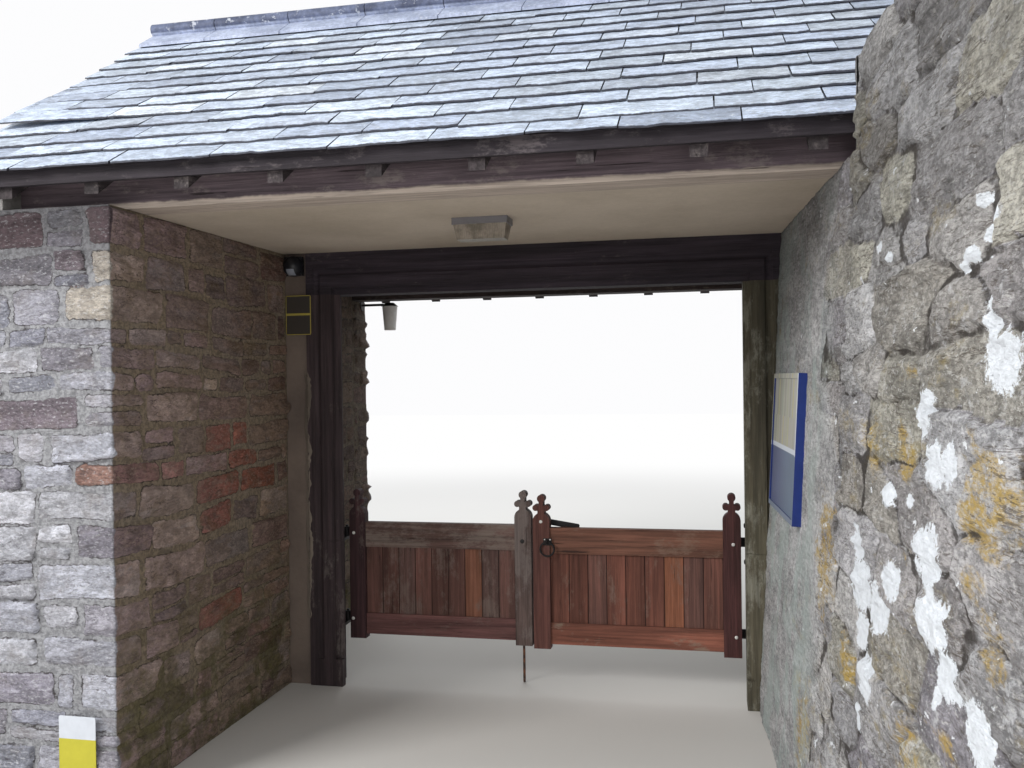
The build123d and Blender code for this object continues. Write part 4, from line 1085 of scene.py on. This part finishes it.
def plate(name, slot, corners, front_y):
    """A thin upright plate with eased edges and rounded corners, facing the lane."""
    low, high = corners
    radius, ease, steps = 0.008, 0.0008, 4
    rings = []
    for inset, y in ((0, front_y + PLATE), (0, front_y + ease), (ease, front_y)):
        ring = []
        for corner, (sx, sz) in enumerate(((1, 1), (-1, 1), (-1, -1), (1, -1))):
            cx = (high[0] if sx > 0 else low[0]) - sx * radius
            cz = (high[1] if sz > 0 else low[1]) - sz * radius
            for n in range(steps + 1):
                turn = pi / 2 * (corner + n / steps)
                ring.append((cx + (radius - inset) * cos(turn), y, cz + (radius - inset) * sin(turn)))
        rings.append(ring + ring[:1])
    x, z = (low[0] + high[0]) / 2, (low[1] + high[1]) / 2
    count = len(rings[0])
    rings = [[(x, front_y + PLATE, z)] * count] + rings + [[(x, front_y, z)] * count]
    soup = Soup()
    soup.add(sum(rings, []), grid_quads(len(rings), count))
    soup.make(name, "gateway", slot, name, smooth=False)


def fillet():
    """Ragged old mortar over the joint between the left jamb and the post."""
    low, high, left, right = 0.36, 1.76, -1.304, -1.276
    z = np.linspace(low, high, 150)
    share = np.linspace(0, 1, 9)
    s, t = spread(share, z)
    ends = fade(t, low, low + 0.05) * fade(t, high, high - 0.05)
    reach = right + waves(0.012, s * 0, t, 71, (1, 16, 0.016), (1, 60, 0.008)) * ends
    x = left - 0.006 * field(s * 0, t, 73, 1, 21) * (1 - s) + (reach - left) * s
    front = np.where(x > POST_X, POST_Y, JAMB_Y)
    swell = np.sin(s * pi) ** 0.6 * ends
    y = front - swell * waves(0.006, s, t, 74, (6, 30, 0.003), (20, 90, 0.0015))
    y = np.where(swell < 0.01, front + 0.004, y)
    soup = Soup()
    soup.add(np.stack([x, y, t], axis=1), grid_quads(len(share), len(z)))
    soup.make("jamb_fillet", "gateway", "plaster", "old_fillet")


# Stage, light and camera
def stage_floor(size=40.0):
    k = Look("floor", 0.9, specular=0.1)
    material = k.done(k.shade((206, 203, 199), (k.noise(0.8, 2), 0.99, 1.01)))
    reach = k.node("VectorMath", {0: k.place}, operation="LENGTH").outputs["Value"]
    far = k.times(k.step(reach, 4.0, 15.0), k.node("LightPath").outputs["Is Camera Ray"])
    mixer = k.node("MixShader", {0: far, 1: k.shader.outputs[0], 2: k.node("Emission").outputs[0]})
    k.join(mixer.outputs[0], k.output.inputs["Surface"])
    mesh = bpy.data.meshes.new("floor")
    corners = [(-size, -size, 0), (size, -size, 0), (size, size, 0), (-size, size, 0)]
    mesh.from_pydata(corners, [], [(0, 1, 2, 3)])
    mesh.materials.append(material)
    floor = bpy.data.objects.new("floor", mesh)
    bpy.context.scene.collection.objects.link(floor)


def sky():
    world = bpy.data.worlds.new("studio")
    bpy.context.scene.world = world
    world.use_nodes = True
    k = Nodes(world.node_tree)
    light = k.node("Background", {"Color": (0.93, 0.97, 1.0, 1), "Strength": 0.85})
    white = k.node("Background", {"Color": (0.98, 0.98, 0.99, 1)})
    path = k.node("LightPath").outputs
    seen = k.math("MAXIMUM", path["Is Camera Ray"], path["Is Glossy Ray"])
    mixer = k.node("MixShader", {0: seen, 1: light.outputs[0], 2: white.outputs[0]})
    k.node("OutputWorld", {"Surface": mixer.outputs[0]})


def area_light(name, place, target, size, power, tone, spread_angle=180):
    data = bpy.data.lights.new(name, "AREA")
    data.spread = radians(spread_angle)
    data.shape, data.size, data.energy, data.color = "SQUARE", size, power, tone
    lamp = bpy.data.objects.new(name, data)
    lamp.visible_camera = False
    lamp.location = place
    lamp.rotation_euler = (Vector(target) - Vector(place)).to_track_quat("-Z", "Y").to_euler()
    bpy.context.scene.collection.objects.link(lamp)


def photo_camera():
    forward = Vector((-sin(YAW) * cos(PITCH), cos(YAW) * cos(PITCH), sin(PITCH)))
    level = Vector((cos(YAW), sin(YAW), 0))
    rise = level.cross(forward)
    right = level * cos(ROLL) - rise * sin(ROLL)
    up = level * sin(ROLL) + rise * cos(ROLL)
    data = bpy.data.cameras.new("camera")
    data.lens, data.sensor_width, data.clip_end = LENS, 36.0, 200.0
    camera = bpy.data.objects.new("camera", data)
    matrix = Matrix((right, up, -forward)).transposed().to_4x4()
    matrix.translation = Vector((EYE[0], EYE[1] + GATE_Y, EYE[2]))
    camera.matrix_world = matrix
    bpy.context.scene.collection.objects.link(camera)
    bpy.context.scene.camera = camera


left_masonry()
right_masonry()
gable_masonry()
bolts()
fillet()
plate("wall_sign", "lamp_metal", SIGN, POST_Y - 0.0035)
plate("caution_board", "light_grey", CAUTION, -FACE_Y - 0.03)
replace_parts(slates(-1, "front_riven_slates"), "front_slates")
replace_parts(slates(1, "rear_riven_slates"), "rear_slates")

stage_floor()
sky()
area_light("key", (-6.0, -6.5, 6.2), (0, 0, 1.4), 3.4, 760, (1.0, 0.99, 0.97))
area_light("wall", (-2.3, -4.4, 2.0), (1.25, -2.1, 1.05), 1.2, 10, (0.98, 0.99, 1.0), 56)
area_light("fill", (2.6, -7.0, 1.6), (-1.4, -0.6, 1.4), 3.0, 80, (1.0, 0.97, 0.93))
area_light("back", (-2.5, 8.0, 6.0), (0, 0, 1.5), 5.0, 260, (0.95, 0.98, 1.0))
photo_camera()
bpy.context.scene.view_settings.view_transform = "Standard"
